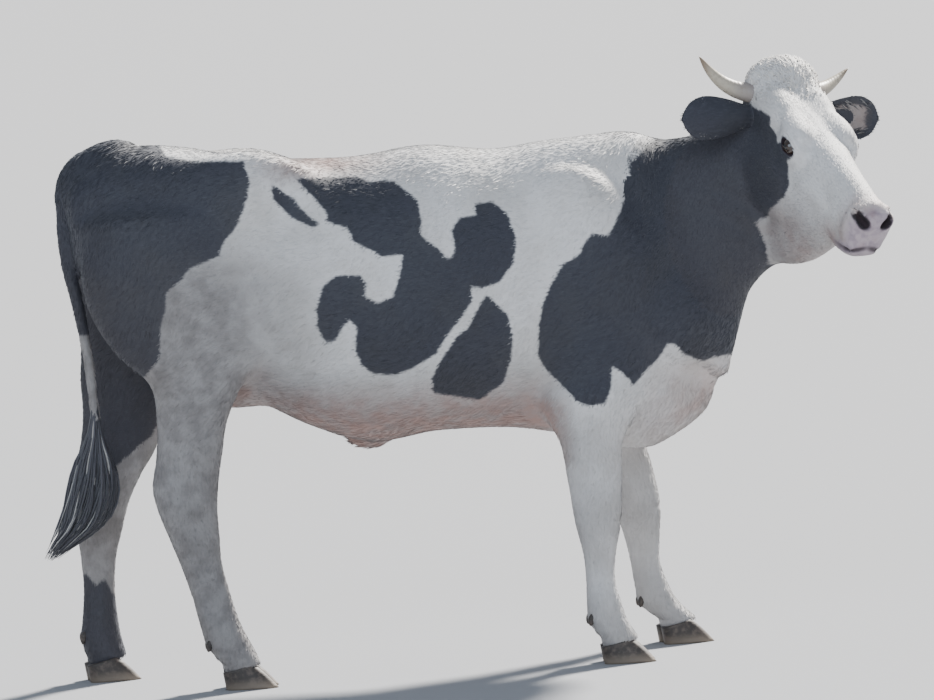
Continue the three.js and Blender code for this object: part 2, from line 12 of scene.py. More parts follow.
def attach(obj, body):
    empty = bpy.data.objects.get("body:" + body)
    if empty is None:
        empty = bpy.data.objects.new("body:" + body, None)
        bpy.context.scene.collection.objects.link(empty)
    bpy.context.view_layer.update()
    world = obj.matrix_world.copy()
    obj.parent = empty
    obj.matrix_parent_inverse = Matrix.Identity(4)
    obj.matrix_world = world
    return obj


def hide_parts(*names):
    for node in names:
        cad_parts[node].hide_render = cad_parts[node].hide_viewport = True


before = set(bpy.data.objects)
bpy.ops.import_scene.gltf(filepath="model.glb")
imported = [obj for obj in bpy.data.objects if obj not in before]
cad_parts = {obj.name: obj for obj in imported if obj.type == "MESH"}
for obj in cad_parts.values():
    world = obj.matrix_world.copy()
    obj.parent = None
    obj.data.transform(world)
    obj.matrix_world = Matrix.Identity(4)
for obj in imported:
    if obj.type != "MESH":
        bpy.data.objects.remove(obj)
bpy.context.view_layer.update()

MM = 0.001
CENTRE = np.array([151.55, -138.75, 0.0])  # moved to the origin, as in the frame
COAT_DEPTH = 3.5  # the skin lies this far inside the coat
dice = np.random.default_rng(11)


# ------------------------------------------------------------------ places

def unit(vectors):
    """The vectors, each at length 1."""
    return vectors / np.maximum(np.linalg.norm(vectors, axis=-1, keepdims=True), 1e-9)


def turned_frame(origin, turn, drop, tilt=0.0):
    """A place whose first axis is turned right, dropped and tipped."""
    turn, drop, tilt = (math.radians(angle) for angle in (turn, drop, tilt))
    along = np.array([math.cos(drop) * math.cos(turn), -math.cos(drop) * math.sin(turn),
                      -math.sin(drop)])
    level = np.array([math.sin(turn), math.cos(turn), 0.0])
    crown = np.cross(along, level)
    side = math.cos(tilt) * level - math.sin(tilt) * crown
    up = math.sin(tilt) * level + math.cos(tilt) * crown
    return np.array(origin, float), np.array([along, side, up])


BODY = (np.zeros(3), np.eye(3))
STANDING = (np.zeros(3), np.array([[0.0, 0, 1], [0, 1, 0], [1, 0, 0]]))
HEAD = turned_frame([944, -160, 1350], 70, 34, 4)
HEAD_LOW, THROAT_LOW = 900, 850  # the head and the throat lie above these heights
NECK = turned_frame([640, 0, 930], 19, -42)


def local(place, points):
    """Forward, side and up of points in a place."""
    return (points - place[0]) @ place[1].T


def spot(place, forward, side, up):
    """The point that is so far forward, to the side and up in a place."""
    return place[0] + np.array([forward, side, up], float) @ place[1]


def from_head(points, forward, up):
    """How far points are from a point in the middle plane of the head."""
    return np.linalg.norm(points - spot(HEAD, forward, 0, up), axis=1)


def held(value):
    """The value, held between 0 and 1."""
    return np.clip(value, 0, 1)


def bump(value, middle, width):
    """1 at the middle, falling softly to 0 over about twice the width."""
    return np.exp(-(((value - middle) / width) ** 2))


# ------------------------------------------------------------------ flesh

def row_at(rows, at):
    """Smooth values between the rows of a table whose first column rises."""
    rows = np.asarray(rows, float)
    at = np.clip(np.asarray(at, float), rows[0, 0], rows[-1, 0])
    last = len(rows) - 1
    i = np.clip(np.searchsorted(rows[:, 0], at, "left") - 1, 0, last - 1)
    a, b = rows[i], rows[i + 1]
    before, after = rows[np.maximum(i - 1, 0)], rows[np.minimum(i + 2, last)]
    span = (b[:, :1] - a[:, :1])
    t = (at[:, None] - a[:, :1]) / span
    slope_a = (b - before) / (b[:, :1] - before[:, :1]) * span
    slope_b = (after - a) / (after[:, :1] - a[:, :1]) * span
    return ((2 * t**3 - 3 * t**2 + 1) * a + (t**3 - 2 * t**2 + t) * slope_a
            + (3 * t**2 - 2 * t**3) * b + (t**3 - t**2) * slope_b)


def radial_distance(offset, halves, power):
    """Distance outside an egg, roughly, along the line to its middle."""
    total = (np.abs(offset / halves) ** power[:, None]).sum(1)
    reach = np.maximum(total, 1e-9) ** (1 / power)
    return np.linalg.norm(offset, axis=1) * (1 - 1 / np.maximum(reach, 1e-6))


class Stack:
    """A long mass through rows of along, middle up, middle side, half size up,
    half size down, half width and squareness."""

    def __init__(self, place, rows, cap, blend):
        self.place, self.cap, self.blend = place, cap, blend
        self.grid = np.linspace(rows[0][0], rows[-1][0], 260)
        self.table = row_at(rows, self.grid)

    def distance(self, points):
        along, side, up = local(self.place, points).T
        at = np.clip(along, self.grid[0], self.grid[-1])
        s, mid, aside, above, below, width, power = (
            np.interp(at, self.grid, column) for column in self.table.T)
        offset = np.stack([along - s, up - mid, side - aside], 1)
        halves = np.stack([np.full_like(s, self.cap), np.where(up > mid, above, below), width], 1)
        return radial_distance(offset, halves, power)


class Mass:
    """A rounded mass with half sizes forward, to the side and up, which
    `lean` degrees turn about the side axis."""

    def __init__(self, place, at, halves, blend, lean=0.0):
        self.middle, self.axes = spot(place, *at), place[1]
        self.halves, self.blend = np.array(halves, float), blend
        self.turn = (math.cos(math.radians(lean)), math.sin(math.radians(lean)))

    def distance(self, points):
        reach = self.halves.max() + self.blend + 12
        near = (np.abs(points - self.middle) < reach).all(1)
        result = np.full(len(points), 1e6)
        along, side, up = ((points[near] - self.middle) @ self.axes.T).T
        c, s = self.turn
        offset = np.stack([c * along + s * up, side, c * up - s * along], 1)
        result[near] = radial_distance(offset, self.halves, np.full(len(offset), 2.0))
        return result


def pair(place, at, halves, blend, lean=0.0):
    """The same mass on both sides."""
    return [Mass(place, (at[0], sign * at[1], at[2]), halves, blend, lean) for sign in (-1, 1)]


def smooth_minimum(a, b, blend):
    """The lesser of two distances, rounded over where they are nearly equal."""
    overlap = np.maximum(blend - np.abs(a - b), 0) / np.maximum(blend, 1e-6)
    return np.minimum(a, b) - overlap**2 * blend / 4


TRUNK_ROWS = [
    [-735, 1090, 0, 130, 110, 95, 2.4], [-690, 1060, 0, 222, 170, 150, 2.5],
    [-600, 1030, 0, 264, 230, 180, 2.5], [-480, 1010, 0, 273, 280, 200, 2.5],
    [-350, 990, 0, 262, 325, 205, 2.4], [-220, 950, 0, 292, 355, 232, 2.2],
    [-80, 910, 0, 330, 360, 258, 2.1], [80, 890, 0, 367, 324, 268, 2.1],
    [250, 880, 0, 359, 317, 240, 2.1], [380, 870, 0, 382, 330, 205, 2.1],
    [500, 860, 0, 396, 358, 188, 2], [600, 850, 0, 392, 350, 165, 2],
    [682, 840, 0, 310, 266, 122, 2], [735, 830, 0, 220, 168, 78, 2],
]
NECK_ROWS = [
    [-60, 0, 0, 320, 290, 160, 2], [100, 0, 0, 298, 200, 124, 2], [200, 0, 0, 226, 188, 105, 2],
    [300, 0, 0, 160, 178, 95, 2], [390, 0, 0, 145, 160, 90, 2],
]
LEG_ROWS = {
    "foreleg_right": [
        [60, 472, -155, 48, 46, 50, 2.3], [100, 447, -155, 50, 48, 46, 2.2],
        [140, 438, -155, 47, 42, 42, 2], [200, 435, -153, 38, 38, 31, 2],
        [260, 436, -152, 42, 42, 34, 2], [340, 437, -150, 58, 58, 50, 2.2],
        [430, 435, -148, 67, 67, 54, 2], [530, 430, -145, 78, 76, 64, 2],
        [640, 430, -140, 100, 110, 70, 2]],
    "foreleg_left": [
        [60, 655, 158, 50, 46, 50, 2.3], [100, 614, 158, 52, 50, 46, 2.2],
        [140, 597, 157, 47, 42, 42, 2], [200, 585, 156, 40, 38, 31, 2],
        [260, 580, 154, 47, 44, 34, 2], [340, 572, 152, 60, 58, 50, 2.2],
        [430, 550, 148, 68, 67, 54, 2], [530, 515, 145, 78, 76, 64, 2],
        [640, 470, 140, 100, 110, 70, 2]],
    "hindleg_right": [
        [60, -434, -168, 50, 48, 48, 2.3], [100, -461, -166, 58, 52, 45, 2.2],
        [150, -478, -166, 52, 50, 42, 2], [220, -496, -166, 50, 47, 30, 2],
        [300, -515, -165, 52, 52, 33, 2], [360, -526, -164, 61, 62, 42, 2],
        [430, -539, -162, 73, 73, 47, 2], [490, -540, -160, 80, 82, 46, 2],
        [555, -529, -158, 81, 81, 50, 2], [640, -517, -154, 88, 86, 56, 2],
        [730, -505, -150, 120, 110, 70, 2], [810, -525, -145, 185, 165, 80, 2.2],
        [900, -552, -140, 195, 190, 88, 2.2], [1000, -568, -128, 190, 192, 94, 2.2],
        [1110, -580, -105, 160, 165, 100, 2.2]],
    "hindleg_left": [
        [60, -738, 168, 52, 50, 48, 2.3], [100, -750, 166, 54, 50, 45, 2.2],
        [150, -750, 166, 48, 44, 42, 2], [220, -748, 166, 43, 39, 30, 2],
        [300, -743, 165, 46, 46, 33, 2], [360, -738, 164, 58, 58, 42, 2],
        [430, -733, 162, 74, 76, 47, 2], [490, -713, 160, 84, 95, 46, 2],
        [555, -680, 158, 92, 100, 50, 2], [640, -655, 154, 100, 110, 56, 2],
        [730, -625, 150, 130, 140, 70, 2], [810, -595, 145, 180, 165, 80, 2.2],
        [900, -575, 140, 190, 190, 88, 2.2], [1000, -572, 128, 190, 192, 94, 2.2],
        [1110, -580, 105, 160, 165, 100, 2.2]],
}
# Toe on the floor and the way each foot turns out.
FEET = {
    "foreleg_right": ([557, -158], 4), "foreleg_left": ([740, 165], -6),
    "hindleg_right": ([-348, -170], 5), "hindleg_left": ([-660, 172], -5),
}
HEAD_ROWS = [
    [-28, -100, 0, 92, 100, 80, 2.2], [56, -105, 0, 112, 130, 91, 2.4],
    [144, -108, 0, 118, 140, 89, 2.4], [232, -102, 0, 106, 128, 78, 2.4],
    [320, -92, 0, 90, 108, 63, 2.4], [408, -85, 0, 79, 86, 53, 2.4],
    [472, -84, 0, 72, 74, 54, 2.4], [490, -86, 0, 62, 60, 52, 2.4],
]
BODY_MASSES = [
    Stack(BODY, TRUNK_ROWS, 45, 0),
    Stack(NECK, NECK_ROWS, 60, 90),
    *pair(BODY, [470, 140, 960], [120, 62, 230], 60, 20),  # shoulder blades
    *pair(BODY, [655, 112, 810], [85, 66, 100], 60),  # points of the shoulder
    *pair(BODY, [455, 140, 680], [115, 65, 130], 60, -20),  # upper arms
    *pair(BODY, [-345, 134, 1192], [112, 52, 66], 110),  # hooks
    *pair(BODY, [-715, 78, 1160], [60, 50, 75], 50),  # pins
    Mass(BODY, [-690, 0, 1212], [90, 36, 66], 50),  # root of the tail
    Mass(BODY, [628, 0, 652], [130, 86, 122], 60),  # brisket
]
LEG_MASSES = [Stack(STANDING, rows, 40, 55) for rows in LEG_ROWS.values()]
UDDER = [
    Mass(BODY, [-395, 0, 705], [90, 75, 55], 40),
    Mass(BODY, [-85, 0, 560], [48, 14, 26], 24),  # navel fold
]
HEAD_MASSES = [
    Stack(HEAD, HEAD_ROWS, 18, 40),
    Mass(HEAD, [-32, 5, -16], [66, 97, 71], 60),  # curly mound on the poll
    *pair(HEAD, [70, 56, -26], [76, 38, 44], 40),  # temples
    *pair(HEAD, [192, 73, -42], [54, 28, 42], 26),  # orbits
    *pair(HEAD, [168, 56, -6], [54, 32, 22], 24),  # brows
    *pair(HEAD, [140, 54, -160], [98, 36, 90], 40),  # cheeks
    *pair(HEAD, [278, 50, -92], [84, 17, 24], 26),  # facial crests
    Mass(HEAD, [470, 0, -72], [34, 60, 56], 24),  # muzzle
    *pair(HEAD, [478, 33, -52], [28, 26, 30], 14),  # nostril wings
    Mass(HEAD, [438, 0, -140], [52, 44, 30], 22),  # chin
    Mass(HEAD, [246, 0, -256], [160, 44, 74], 70, 42),  # loose skin of the throat
]
HOLLOWS = [
    *pair(BODY, [-250, 292, 1130], [100, 62, 70], 70),  # flank below the loin
    *pair(BODY, [-540, 275, 1235], [120, 70, 60], 60),  # between hook and pin
]

# Where the claws' hair line runs: its height at the toe, its height at the
# heel, and the length of a claw.
CORONET_FRONT, CORONET_HEEL = 74, 42
CLAW_LENGTH, CLAW_WIDTH, CLAW_SPLIT, TOE_ANGLE = 124, 49, 6, 52
CORONET_SLOPE = (CORONET_FRONT - CORONET_HEEL) / CLAW_LENGTH

TAIL_PATH = [
    [-655, 0, 1262], [-722, -6, 1248], [-766, -14, 1200], [-782, -20, 1130], [-782, -22, 1030],
    [-766, -22, 930], [-752, -22, 830], [-744, -22, 730], [-738, -23, 650],
]


def smooth_path(points, count):
    """Even steps along a smooth path through a few points, with their directions."""
    points = np.asarray(points, float)
    ends = np.vstack([2 * points[0] - points[1], points, 2 * points[-1] - points[-2]])
    t = np.linspace(0, len(points) - 1, count * 6)
    i = np.minimum(t.astype(int), len(points) - 2)
    f = (t - i)[:, None]
    p0, p1, p2, p3 = (ends[i + k] for k in range(4))
    dense = 0.5 * (2 * p1 + (p2 - p0) * f + (2 * p0 - 5 * p1 + 4 * p2 - p3) * f**2
                   + (3 * p1 - p0 - 3 * p2 + p3) * f**3)
    run = np.concatenate([[0], np.cumsum(np.linalg.norm(np.diff(dense, axis=0), axis=1))])
    at = np.linspace(0, run[-1], count)
    path = np.stack([np.interp(at, run, column) for column in dense.T], 1)
    return path, unit(np.gradient(path, axis=0))


TAIL_LINE, _ = smooth_path(TAIL_PATH, 60)
TAIL_RADIUS = 15 + 22 * (1 - np.linspace(0, 1, 60)) ** 2.2


def tail_distance(points):
    """Distance outside the tail, which tapers along its line."""
    result = np.full(len(points), 1e6)
    near = (points[:, 0] < -600) & (np.abs(points[:, 1] + 15) < 95) & (points[:, 2] > 600)
    gaps = np.linalg.norm(points[near][:, None] - TAIL_LINE[None], axis=2) - TAIL_RADIUS
    result[near] = gaps.min(1)
    return result


def flesh(points):
    """Distance outside the coat of the whole animal."""
    distance = np.full(len(points), 1e6)
    for part in BODY_MASSES + LEG_MASSES + UDDER + HEAD_MASSES:
        distance = smooth_minimum(distance, part.distance(points), part.blend)
    for part in HOLLOWS:
        distance = -smooth_minimum(-distance, part.distance(points), part.blend)
    root = held((points[:, 2] - 1090) / 90)
    return smooth_minimum(distance, tail_distance(points), 1 + 55 * root)


def foot_axes(name):
    """The place of a foot, from its toe on the floor."""
    toe, turn = FEET[name]
    return turned_frame([toe[0], toe[1], 0], turn, 0)


def above_hooves(points):
    """Positive below the hair line of the nearest foot."""
    result = np.full(len(points), -1e6)
    for name in FEET:
        place = foot_axes(name)
        near = (np.abs(points[:, 0] - place[0][0] + 60) < 160) & (points[:, 2] < 200)
        near &= np.abs(points[:, 1] - place[0][1]) < 110
        forward = local(place, points[near])[:, 0]
        result[near] = CORONET_FRONT + CORONET_SLOPE * forward - 7 - points[near][:, 2]
    return result


# ------------------------------------------------------------------ fine forms

# Places in the head are [forward, left, up] from the poll.
EYE_RADIUS = 21
EYE_AT = (203, 81, -36)
LID_HALVES = (20.5, 8.5, 8.0)  # half sizes of the open eye: along, above and below
GAZE = unit(np.array([0.26, 0.95, 0.15]))  # out of the left eye, in the head's place
SLIT = np.array([0.95, -0.26, -0.3])
SLIT = unit(SLIT - GAZE * (SLIT @ GAZE))  # forward along the opening between the lids
LID = np.cross(SLIT, GAZE) * np.sign(np.cross(SLIT, GAZE)[2])  # up across it
# From the front of the lips back to the corner of the mouth.
MOUTH = np.array([[512, 0, -116], [502, 26, -124], [474, 46, -137], [436, 55, -143], [396, 56, -138]])
NOSTRIL_AT = np.array([505, 33, -47])
NOSTRIL_HALVES, NOSTRIL_TAIL_HALVES = (25, 15, 8.5), (17, 8, 5.5)


def mirrored(points):
    """Places in the head, with both sides folded onto the left."""
    head = local(HEAD, points)
    return head, np.stack([head[:, 0], np.abs(head[:, 1]), head[:, 2]], 1)


def eye_place(folded):
    """Along the slit of the left eye, up across it, and out of it."""
    offset = folded - np.array(EYE_AT)
    return offset @ SLIT, offset @ LID, offset @ GAZE


def before_nape(head):
    """How far in front of the nape places in the head lie."""
    return 0.735 * head[:, 0] + 0.678 * head[:, 2]


def mouth_gap(folded):
    """Distance from the line where the lips meet."""
    gap = np.full(len(folded), 1e3)
    for a, b in zip(MOUTH[:-1], MOUTH[1:]):
        t = held((folded - a) @ (b - a) / ((b - a) @ (b - a)))
        gap = np.minimum(gap, np.linalg.norm(folded - a - t[:, None] * (b - a), axis=1))
    return gap


def nostril_levels(folded, halves, tail_halves):
    """Levels in the nostril's slanting opening and in the tail behind it, 1 at the
    rim of an egg with these half sizes."""
    n = folded - NOSTRIL_AT
    slanted = np.stack([n[:, 0], 0.8 * n[:, 1] + 0.6 * n[:, 2], 0.8 * n[:, 2] - 0.6 * n[:, 1]], 1)
    return (np.linalg.norm(slanted / halves, axis=1),
            np.linalg.norm((n - [-14, 13, 11]) / tail_halves, axis=1))


def head_detail(points, distance):
    """Lids, nostrils, lips and folds, worked into the distance near the head."""
    near = from_head(points, 250, -90) < 420
    head, folded = mirrored(points[near])
    d = distance[near]
    across, high, out = eye_place(folded)
    # eyelids: a shell over the ball, cut open along the slit
    shell = np.sqrt(across**2 + high**2 + out**2) - (EYE_RADIUS + 4.5)
    d = smooth_minimum(d, shell, 9)
    ring = np.hypot(across / LID_HALVES[0], high / np.where(high > 0, *LID_HALVES[1:]))
    slit = np.hypot(ring, (out - 23) / 16)
    around = held((out + 5) / 15) * held((62 - np.abs(across)) / 20)
    d -= 2.4 * bump(ring, 1.25, 0.22) * around  # rims of the lids
    d += 2.6 * bump(ring, 1.95, 0.26) * around * held(0.45 + high / 24)  # fold above
    d -= 1.6 * bump(ring, 2.7, 0.4) * around * held(high / 20)
    d += 1.2 * bump(ring, 3.5, 0.3) * around * held(high / 20)
    d = -smooth_minimum(-d, (slit - 1) * 9.5, 3)
    # nostril: a rounded opening with a tail that curls up and outward
    opening, tail = nostril_levels(folded, NOSTRIL_HALVES, NOSTRIL_TAIL_HALVES)
    opening, tail = (opening - 1) * NOSTRIL_HALVES[2], (tail - 1) * NOSTRIL_TAIL_HALVES[2]
    wing = bump(np.minimum(opening, tail), 6, 5)
    d -= 2.6 * wing * held(folded[:, 0] / 20 - 22)
    d = -smooth_minimum(-d, opening, 5)
    d = -smooth_minimum(-d, tail, 4)
    # lips: a narrow groove, fuller on both sides of it
    gap = mouth_gap(folded)
    d += 5.5 * bump(gap, 0, 4.2)
    d -= 2.2 * bump(gap, 12, 7)
    # rounder upper lip in front, and a chin that comes forward to meet it
    d += 5 * bump(folded[:, 0], 518, 16) * bump(folded[:, 2], -101, 13)
    d -= 3.5 * bump(folded[:, 0], 497, 18) * bump(folded[:, 2], -137, 10)
    # cleft of the upper lip
    groove = held((folded[:, 0] - 470) / 20) * held((-60 - folded[:, 2]) / 12)
    d += 2.4 * bump(head[:, 1], 0, 4) * groove * held((folded[:, 2] + 118) / 10)
    # flat planes of the face: a shallow dip between the eyes and along the nose
    d += 4.0 * bump(head[:, 1], 0, 34) * bump(folded[:, 0], 175, 70) * (folded[:, 2] > -60)
    d += 2.2 * bump(folded[:, 1], 44, 12) * bump(folded[:, 0], 330, 70) * bump(folded[:, 2], -58, 26)
    # hollow above and behind the eye, and the edge of the jaw muscle
    d += 4.0 * bump(folded[:, 0], 130, 26) * bump(folded[:, 2], -40, 20) * bump(folded[:, 1], 96, 22)
    d += 2.5 * bump(folded[:, 0] + 0.25 * folded[:, 2], 190, 14) * bump(folded[:, 2], -170, 60) * (
        folded[:, 1] > 40)
    result = distance.copy()
    result[near] = d
    return result


def body_detail(points, distance):
    """Ribs, folds and sinews, worked into the distance."""
    x, y, z = points.T
    d = distance.copy()
    slant = x - 0.35 * (z - 900)
    ribs = np.sin(slant / 27) * bump(x, 60, 190) * bump(z, 960, 150) * (np.abs(y) > 120)
    d -= 0.9 * ribs
    # crease behind the shoulder and elbow, and the flank fold of the stifle
    d += 6 * bump(x - 0.12 * (z - 800), 332, 26) * bump(z, 760, 150) * (np.abs(y) > 90)
    d += 4 * bump(x + 0.9 * (z - 800), -300, 34) * bump(z, 800, 80) * (np.abs(y) > 90)
    # hollows before and behind the hook of the hip, which leave its ridge standing
    aside = held((np.abs(y) - 90) / 50)
    d += aside * (10 * bump(x, -268, 34) * bump(z, 1160, 62) + 7 * bump(x, -438, 46) * bump(z, 1205, 44))
    # grooves of the thigh between its muscles
    d += 4 * bump(x - 0.3 * (z - 900), -640, 22) * bump(z, 930, 130) * (np.abs(y) > 120)
    # folds where the neck bends to the right
    s, side, up = local(NECK, points).T
    fold = np.sin((s + 0.35 * up) / 9.5) * bump(s, 262, 70) * held(-side / 60)
    d += 2.6 * fold * bump(up, -70, 110) * (z > THROAT_LOW)
    brisket = np.sin((z - 0.5 * x) / 13) * bump(x, 700, 70) * bump(z, 720, 110)
    d += 1.6 * brisket * bump(y, 0, 70)
    # sinews: a groove on each side between bone and sinew of the cannons, and
    # the hollow in front of the hamstring above each hock
    for name, rows in LEG_ROWS.items():
        near = (np.abs(x - rows[3][1]) < 190) & (np.sign(y) == np.sign(rows[0][2])) & (z < 700)
        if not near.any():
            continue
        row = row_at(rows, z[near])
        back = (x[near] - row[:, 1]) / (0.5 * (row[:, 3] + row[:, 4]))
        aside = held((np.abs(y[near] - row[:, 2]) / row[:, 5] - 0.4) / 0.3)
        cannon = bump(z[near], 215, 55)
        d[near] += 4.2 * bump(back, -0.28, 0.2) * aside * cannon
        if name.startswith("hind"):
            d[near] += 9 * bump(back, -0.3, 0.26) * aside * bump(z[near], 560, 62)
            d[near] -= 3.5 * bump(back, 0.1, 0.5) * aside * bump(z[near], 440, 30)
        else:
            d[near] -= 3.0 * bump(back, 0.2, 0.6) * aside * bump(z[near], 395, 32)
            d[near] += 2.2 * bump(z[near], 340, 10) * bump(back, 0.9, 0.5)
        d[near] += 2.6 * bump(z[near], 92, 7) * bump(back, -0.6, 0.5)
    return d


def skin_level(points):
    """Distance outside the skin itself, inside the coat by its depth."""
    distance = body_detail(points, head_detail(points, flesh(points))) + COAT_DEPTH
    return np.maximum(distance, above_hooves(points))


def slope_of(field, points, values):
    """How fast the field grows along each axis."""
    step = 0.6
    return np.stack([field(points + step * axis) - values for axis in np.eye(3)], 1) / step


def settle(field, points, rounds):
    """The points moved onto the field's surface, and the outward directions there."""
    for _ in range(rounds):
        values = field(points)
        slope = slope_of(field, points, values)
        size = np.maximum((slope**2).sum(1), 0.15)
        points = points - np.clip(values / size, -6, 6)[:, None] * slope
    return points, unit(slope)


# ------------------------------------------------------------------ meshes

def skin_net(field, low, high, cell):
    """Corners and four-sided faces of the field's surface in a box."""
    coarse = 4 * cell
    count = np.ceil((np.array(high) - low) / coarse).astype(int)
    rough_axes = [low[i] + coarse * np.arange(count[i] + 1) for i in range(3)]
    rough = np.stack(np.meshgrid(*rough_axes, indexing="ij"), -1).reshape(-1, 3)
    values = field(rough).reshape(count + 1)
    fine = values
    for axis in range(3):  # four even steps between rough values
        a = np.moveaxis(fine, axis, 0)
        steps = [a[:-1] + (a[1:] - a[:-1]) * k / 4 for k in range(4)]
        woven = np.stack(steps, 1).reshape((-1,) + a.shape[1:])
        fine = np.moveaxis(np.concatenate([woven, a[-1:]]), 0, axis)
    fine = np.ascontiguousarray(np.clip(fine, -200, 200))
    index = np.argwhere(np.abs(fine) < 1.35 * coarse)
    found = np.concatenate([field(np.array(low) + part * cell)
                            for part in np.array_split(index, 1 + len(index) // 200000)])
    fine[tuple(index.T)] = found
    inside = fine < 0
    corners = [np.array([c & 1, c >> 1 & 1, c >> 2 & 1]) for c in range(8)]
    size = np.array(fine.shape) - 1

    def window(array, corner):
        return array[tuple(slice(c, c + n) for c, n in zip(corner, size))]

    total = sum(window(inside, corner).astype(np.int8) for corner in corners)
    cells = np.argwhere((total > 0) & (total < 8))
    number = np.full(size, -1)
    number[tuple(cells.T)] = np.arange(len(cells))
    place, crossings = np.zeros((len(cells), 3)), np.zeros(len(cells))
    for c, corner in enumerate(corners):
        for axis in range(3):
            if c >> axis & 1:
                continue
            step = np.eye(3, dtype=int)[axis]
            va = fine[tuple((cells + corner).T)]
            vb = fine[tuple((cells + corner + step).T)]
            cut = (va < 0) != (vb < 0)
            t = np.where(cut, va / np.where(cut, va - vb, 1), 0)
            place += cut[:, None] * (corner + t[:, None] * step)
            crossings += cut
    vertices = np.array(low) + (cells + place / crossings[:, None]) * cell
    faces = []
    for axis in range(3):
        u, v = np.eye(3, dtype=int)[(axis + 1) % 3], np.eye(3, dtype=int)[(axis + 2) % 3]
        step = np.eye(3, dtype=int)[axis]
        here = inside[tuple(slice(0, n - s) for n, s in zip(fine.shape, step))]
        there = inside[tuple(slice(s, n) for n, s in zip(fine.shape, step))]
        at = np.argwhere(here != there)
        at = at[((at - u - v) >= 0).all(1) & (at < size).all(1)]
        quad = np.stack([number[tuple(p.T)] for p in (at, at - u, at - u - v, at - v)], 1)
        flip = ~inside[tuple(at.T)]
        quad[flip] = quad[flip][:, ::-1]
        faces.append(quad[(quad >= 0).all(1)])
    return vertices, np.concatenate(faces)


def relax(vertices, faces, share):
    """Vertices moved part of the way to the middle of their neighbours."""
    total, count = np.zeros_like(vertices), np.zeros(len(vertices))
    for k in range(faces.shape[1]):
        a, b = faces[:, k], faces[:, (k + 1) % faces.shape[1]]
        for p, q in ((a, b), (b, a)):
            np.add.at(total, p, vertices[q])
            np.add.at(count, p, 1)
    used = count > 0
    moved = vertices.copy()
    moved[used] += share * (total[used] / count[used, None] - vertices[used])
    return moved


def mesh_of(name, vertices, faces):
    """A mesh object in metres from millimetres in the animal's own place."""
    mesh = bpy.data.meshes.new(name)
    vertices = (np.asarray(vertices) - CENTRE) * MM
    faces = np.asarray(faces)
    mesh.vertices.add(len(vertices))
    mesh.vertices.foreach_set("co", vertices.astype(np.float32).ravel())
    mesh.loops.add(faces.size)
    mesh.loops.foreach_set("vertex_index", faces.astype(np.int32).ravel())
    mesh.polygons.add(len(faces))
    mesh.polygons.foreach_set("loop_start", (np.arange(len(faces)) * faces.shape[1]).astype(np.int32))
    mesh.update(calc_edges=True)
    mesh.validate()
    mesh.polygons.foreach_set("use_smooth", np.full(len(mesh.polygons), True))
    thing = bpy.data.objects.new(name, mesh)
    bpy.context.scene.collection.objects.link(thing)
    return thing


def finer(vertices, faces, chosen):
    """The chosen faces cut in four, with the faces beside them made to fit."""
    mesh = bpy.data.meshes.new("work")
    mesh.from_pydata(vertices.tolist(), [], faces.tolist())
    form = bmesh.new()
    form.from_mesh(mesh)
    form.verts.ensure_lookup_table()
    form.faces.ensure_lookup_table()
    edges = {edge for n in np.flatnonzero(chosen) for edge in form.faces[n].edges}
    bmesh.ops.subdivide_edges(form, edges=list(edges), cuts=1, use_grid_fill=True)
    bmesh.ops.triangulate(form, faces=[face for face in form.faces if len(face.verts) > 4])
    corners = np.array([vertex.co[:] for vertex in form.verts])
    lists = [[vertex.index for vertex in face.verts] for face in form.faces]
    form.free()
    bpy.data.meshes.remove(mesh)
    return corners, lists


def triangles_of(lists):
    """All faces as triangles."""
    three = [f for f in lists if len(f) == 3]
    four = np.array([f for f in lists if len(f) == 4]).reshape(-1, 4)
    return np.vstack([np.array(three).reshape(-1, 3), four[:, [0, 1, 2]], four[:, [0, 2, 3]]])


def rings_mesh(rings):
    """Corners and triangles of a closed solid through rings of equal length."""
    rings = np.asarray(rings, float)
    count, size = rings.shape[:2]
    ends = np.stack([rings[0].mean(0), rings[-1].mean(0)])
    vertices = np.vstack([rings.reshape(-1, 3), ends])
    n = np.arange(size)
    m = (n + 1) % size
    faces = []
    for r in range(count - 1):
        a, b, c, d = r * size + n, r * size + m, (r + 1) * size + m, (r + 1) * size + n
        faces += [np.stack([a, b, c], 1), np.stack([a, c, d], 1)]
    first, last = np.full(size, count * size), np.full(size, count * size + 1)
    faces += [np.stack([first, m, n], 1), np.stack([last, (count - 1) * size + n,
                                                     (count - 1) * size + m], 1)]
    return vertices, np.vstack(faces)


def welded(parts):
    """Closed (corners, faces) joined into one surface, as corners and triangles."""
    things = [mesh_of(f"work_{n}", *part) for n, part in enumerate(parts)]
    for other in things[1:]:
        join = things[0].modifiers.new("join", "BOOLEAN")
        join.operation, join.solver, join.object = "UNION", "MANIFOLD", other
    evaluated = things[0].evaluated_get(bpy.context.evaluated_depsgraph_get())
    mesh = evaluated.to_mesh()
    mesh.calc_loop_triangles()
    corners = np.empty(3 * len(mesh.vertices), np.float32)
    mesh.vertices.foreach_get("co", corners)
    faces = np.empty(3 * len(mesh.loop_triangles), np.int32)
    mesh.loop_triangles.foreach_get("vertices", faces)
    evaluated.to_mesh_clear()
    for thing in things:
        bpy.data.meshes.remove(thing.data)
    return corners.reshape(-1, 3) / MM + CENTRE, faces.reshape(-1, 3)


def outward(vertices, faces):
    """Directions away from the surface at its corners."""
    a, b, c = (vertices[faces[:, k]] for k in range(3))
    total = np.zeros_like(vertices)
    for k in range(3):
        np.add.at(total, faces[:, k], np.cross(b - a, c - a))
    return unit(total)


def joined(parts):
    """Several (corners, faces) as one."""
    offsets = np.cumsum([0] + [len(vertices) for vertices, _ in parts])
    return (np.vstack([vertices for vertices, _ in parts]),
            np.vstack([faces + offset for (_, faces), offset in zip(parts, offsets)]))


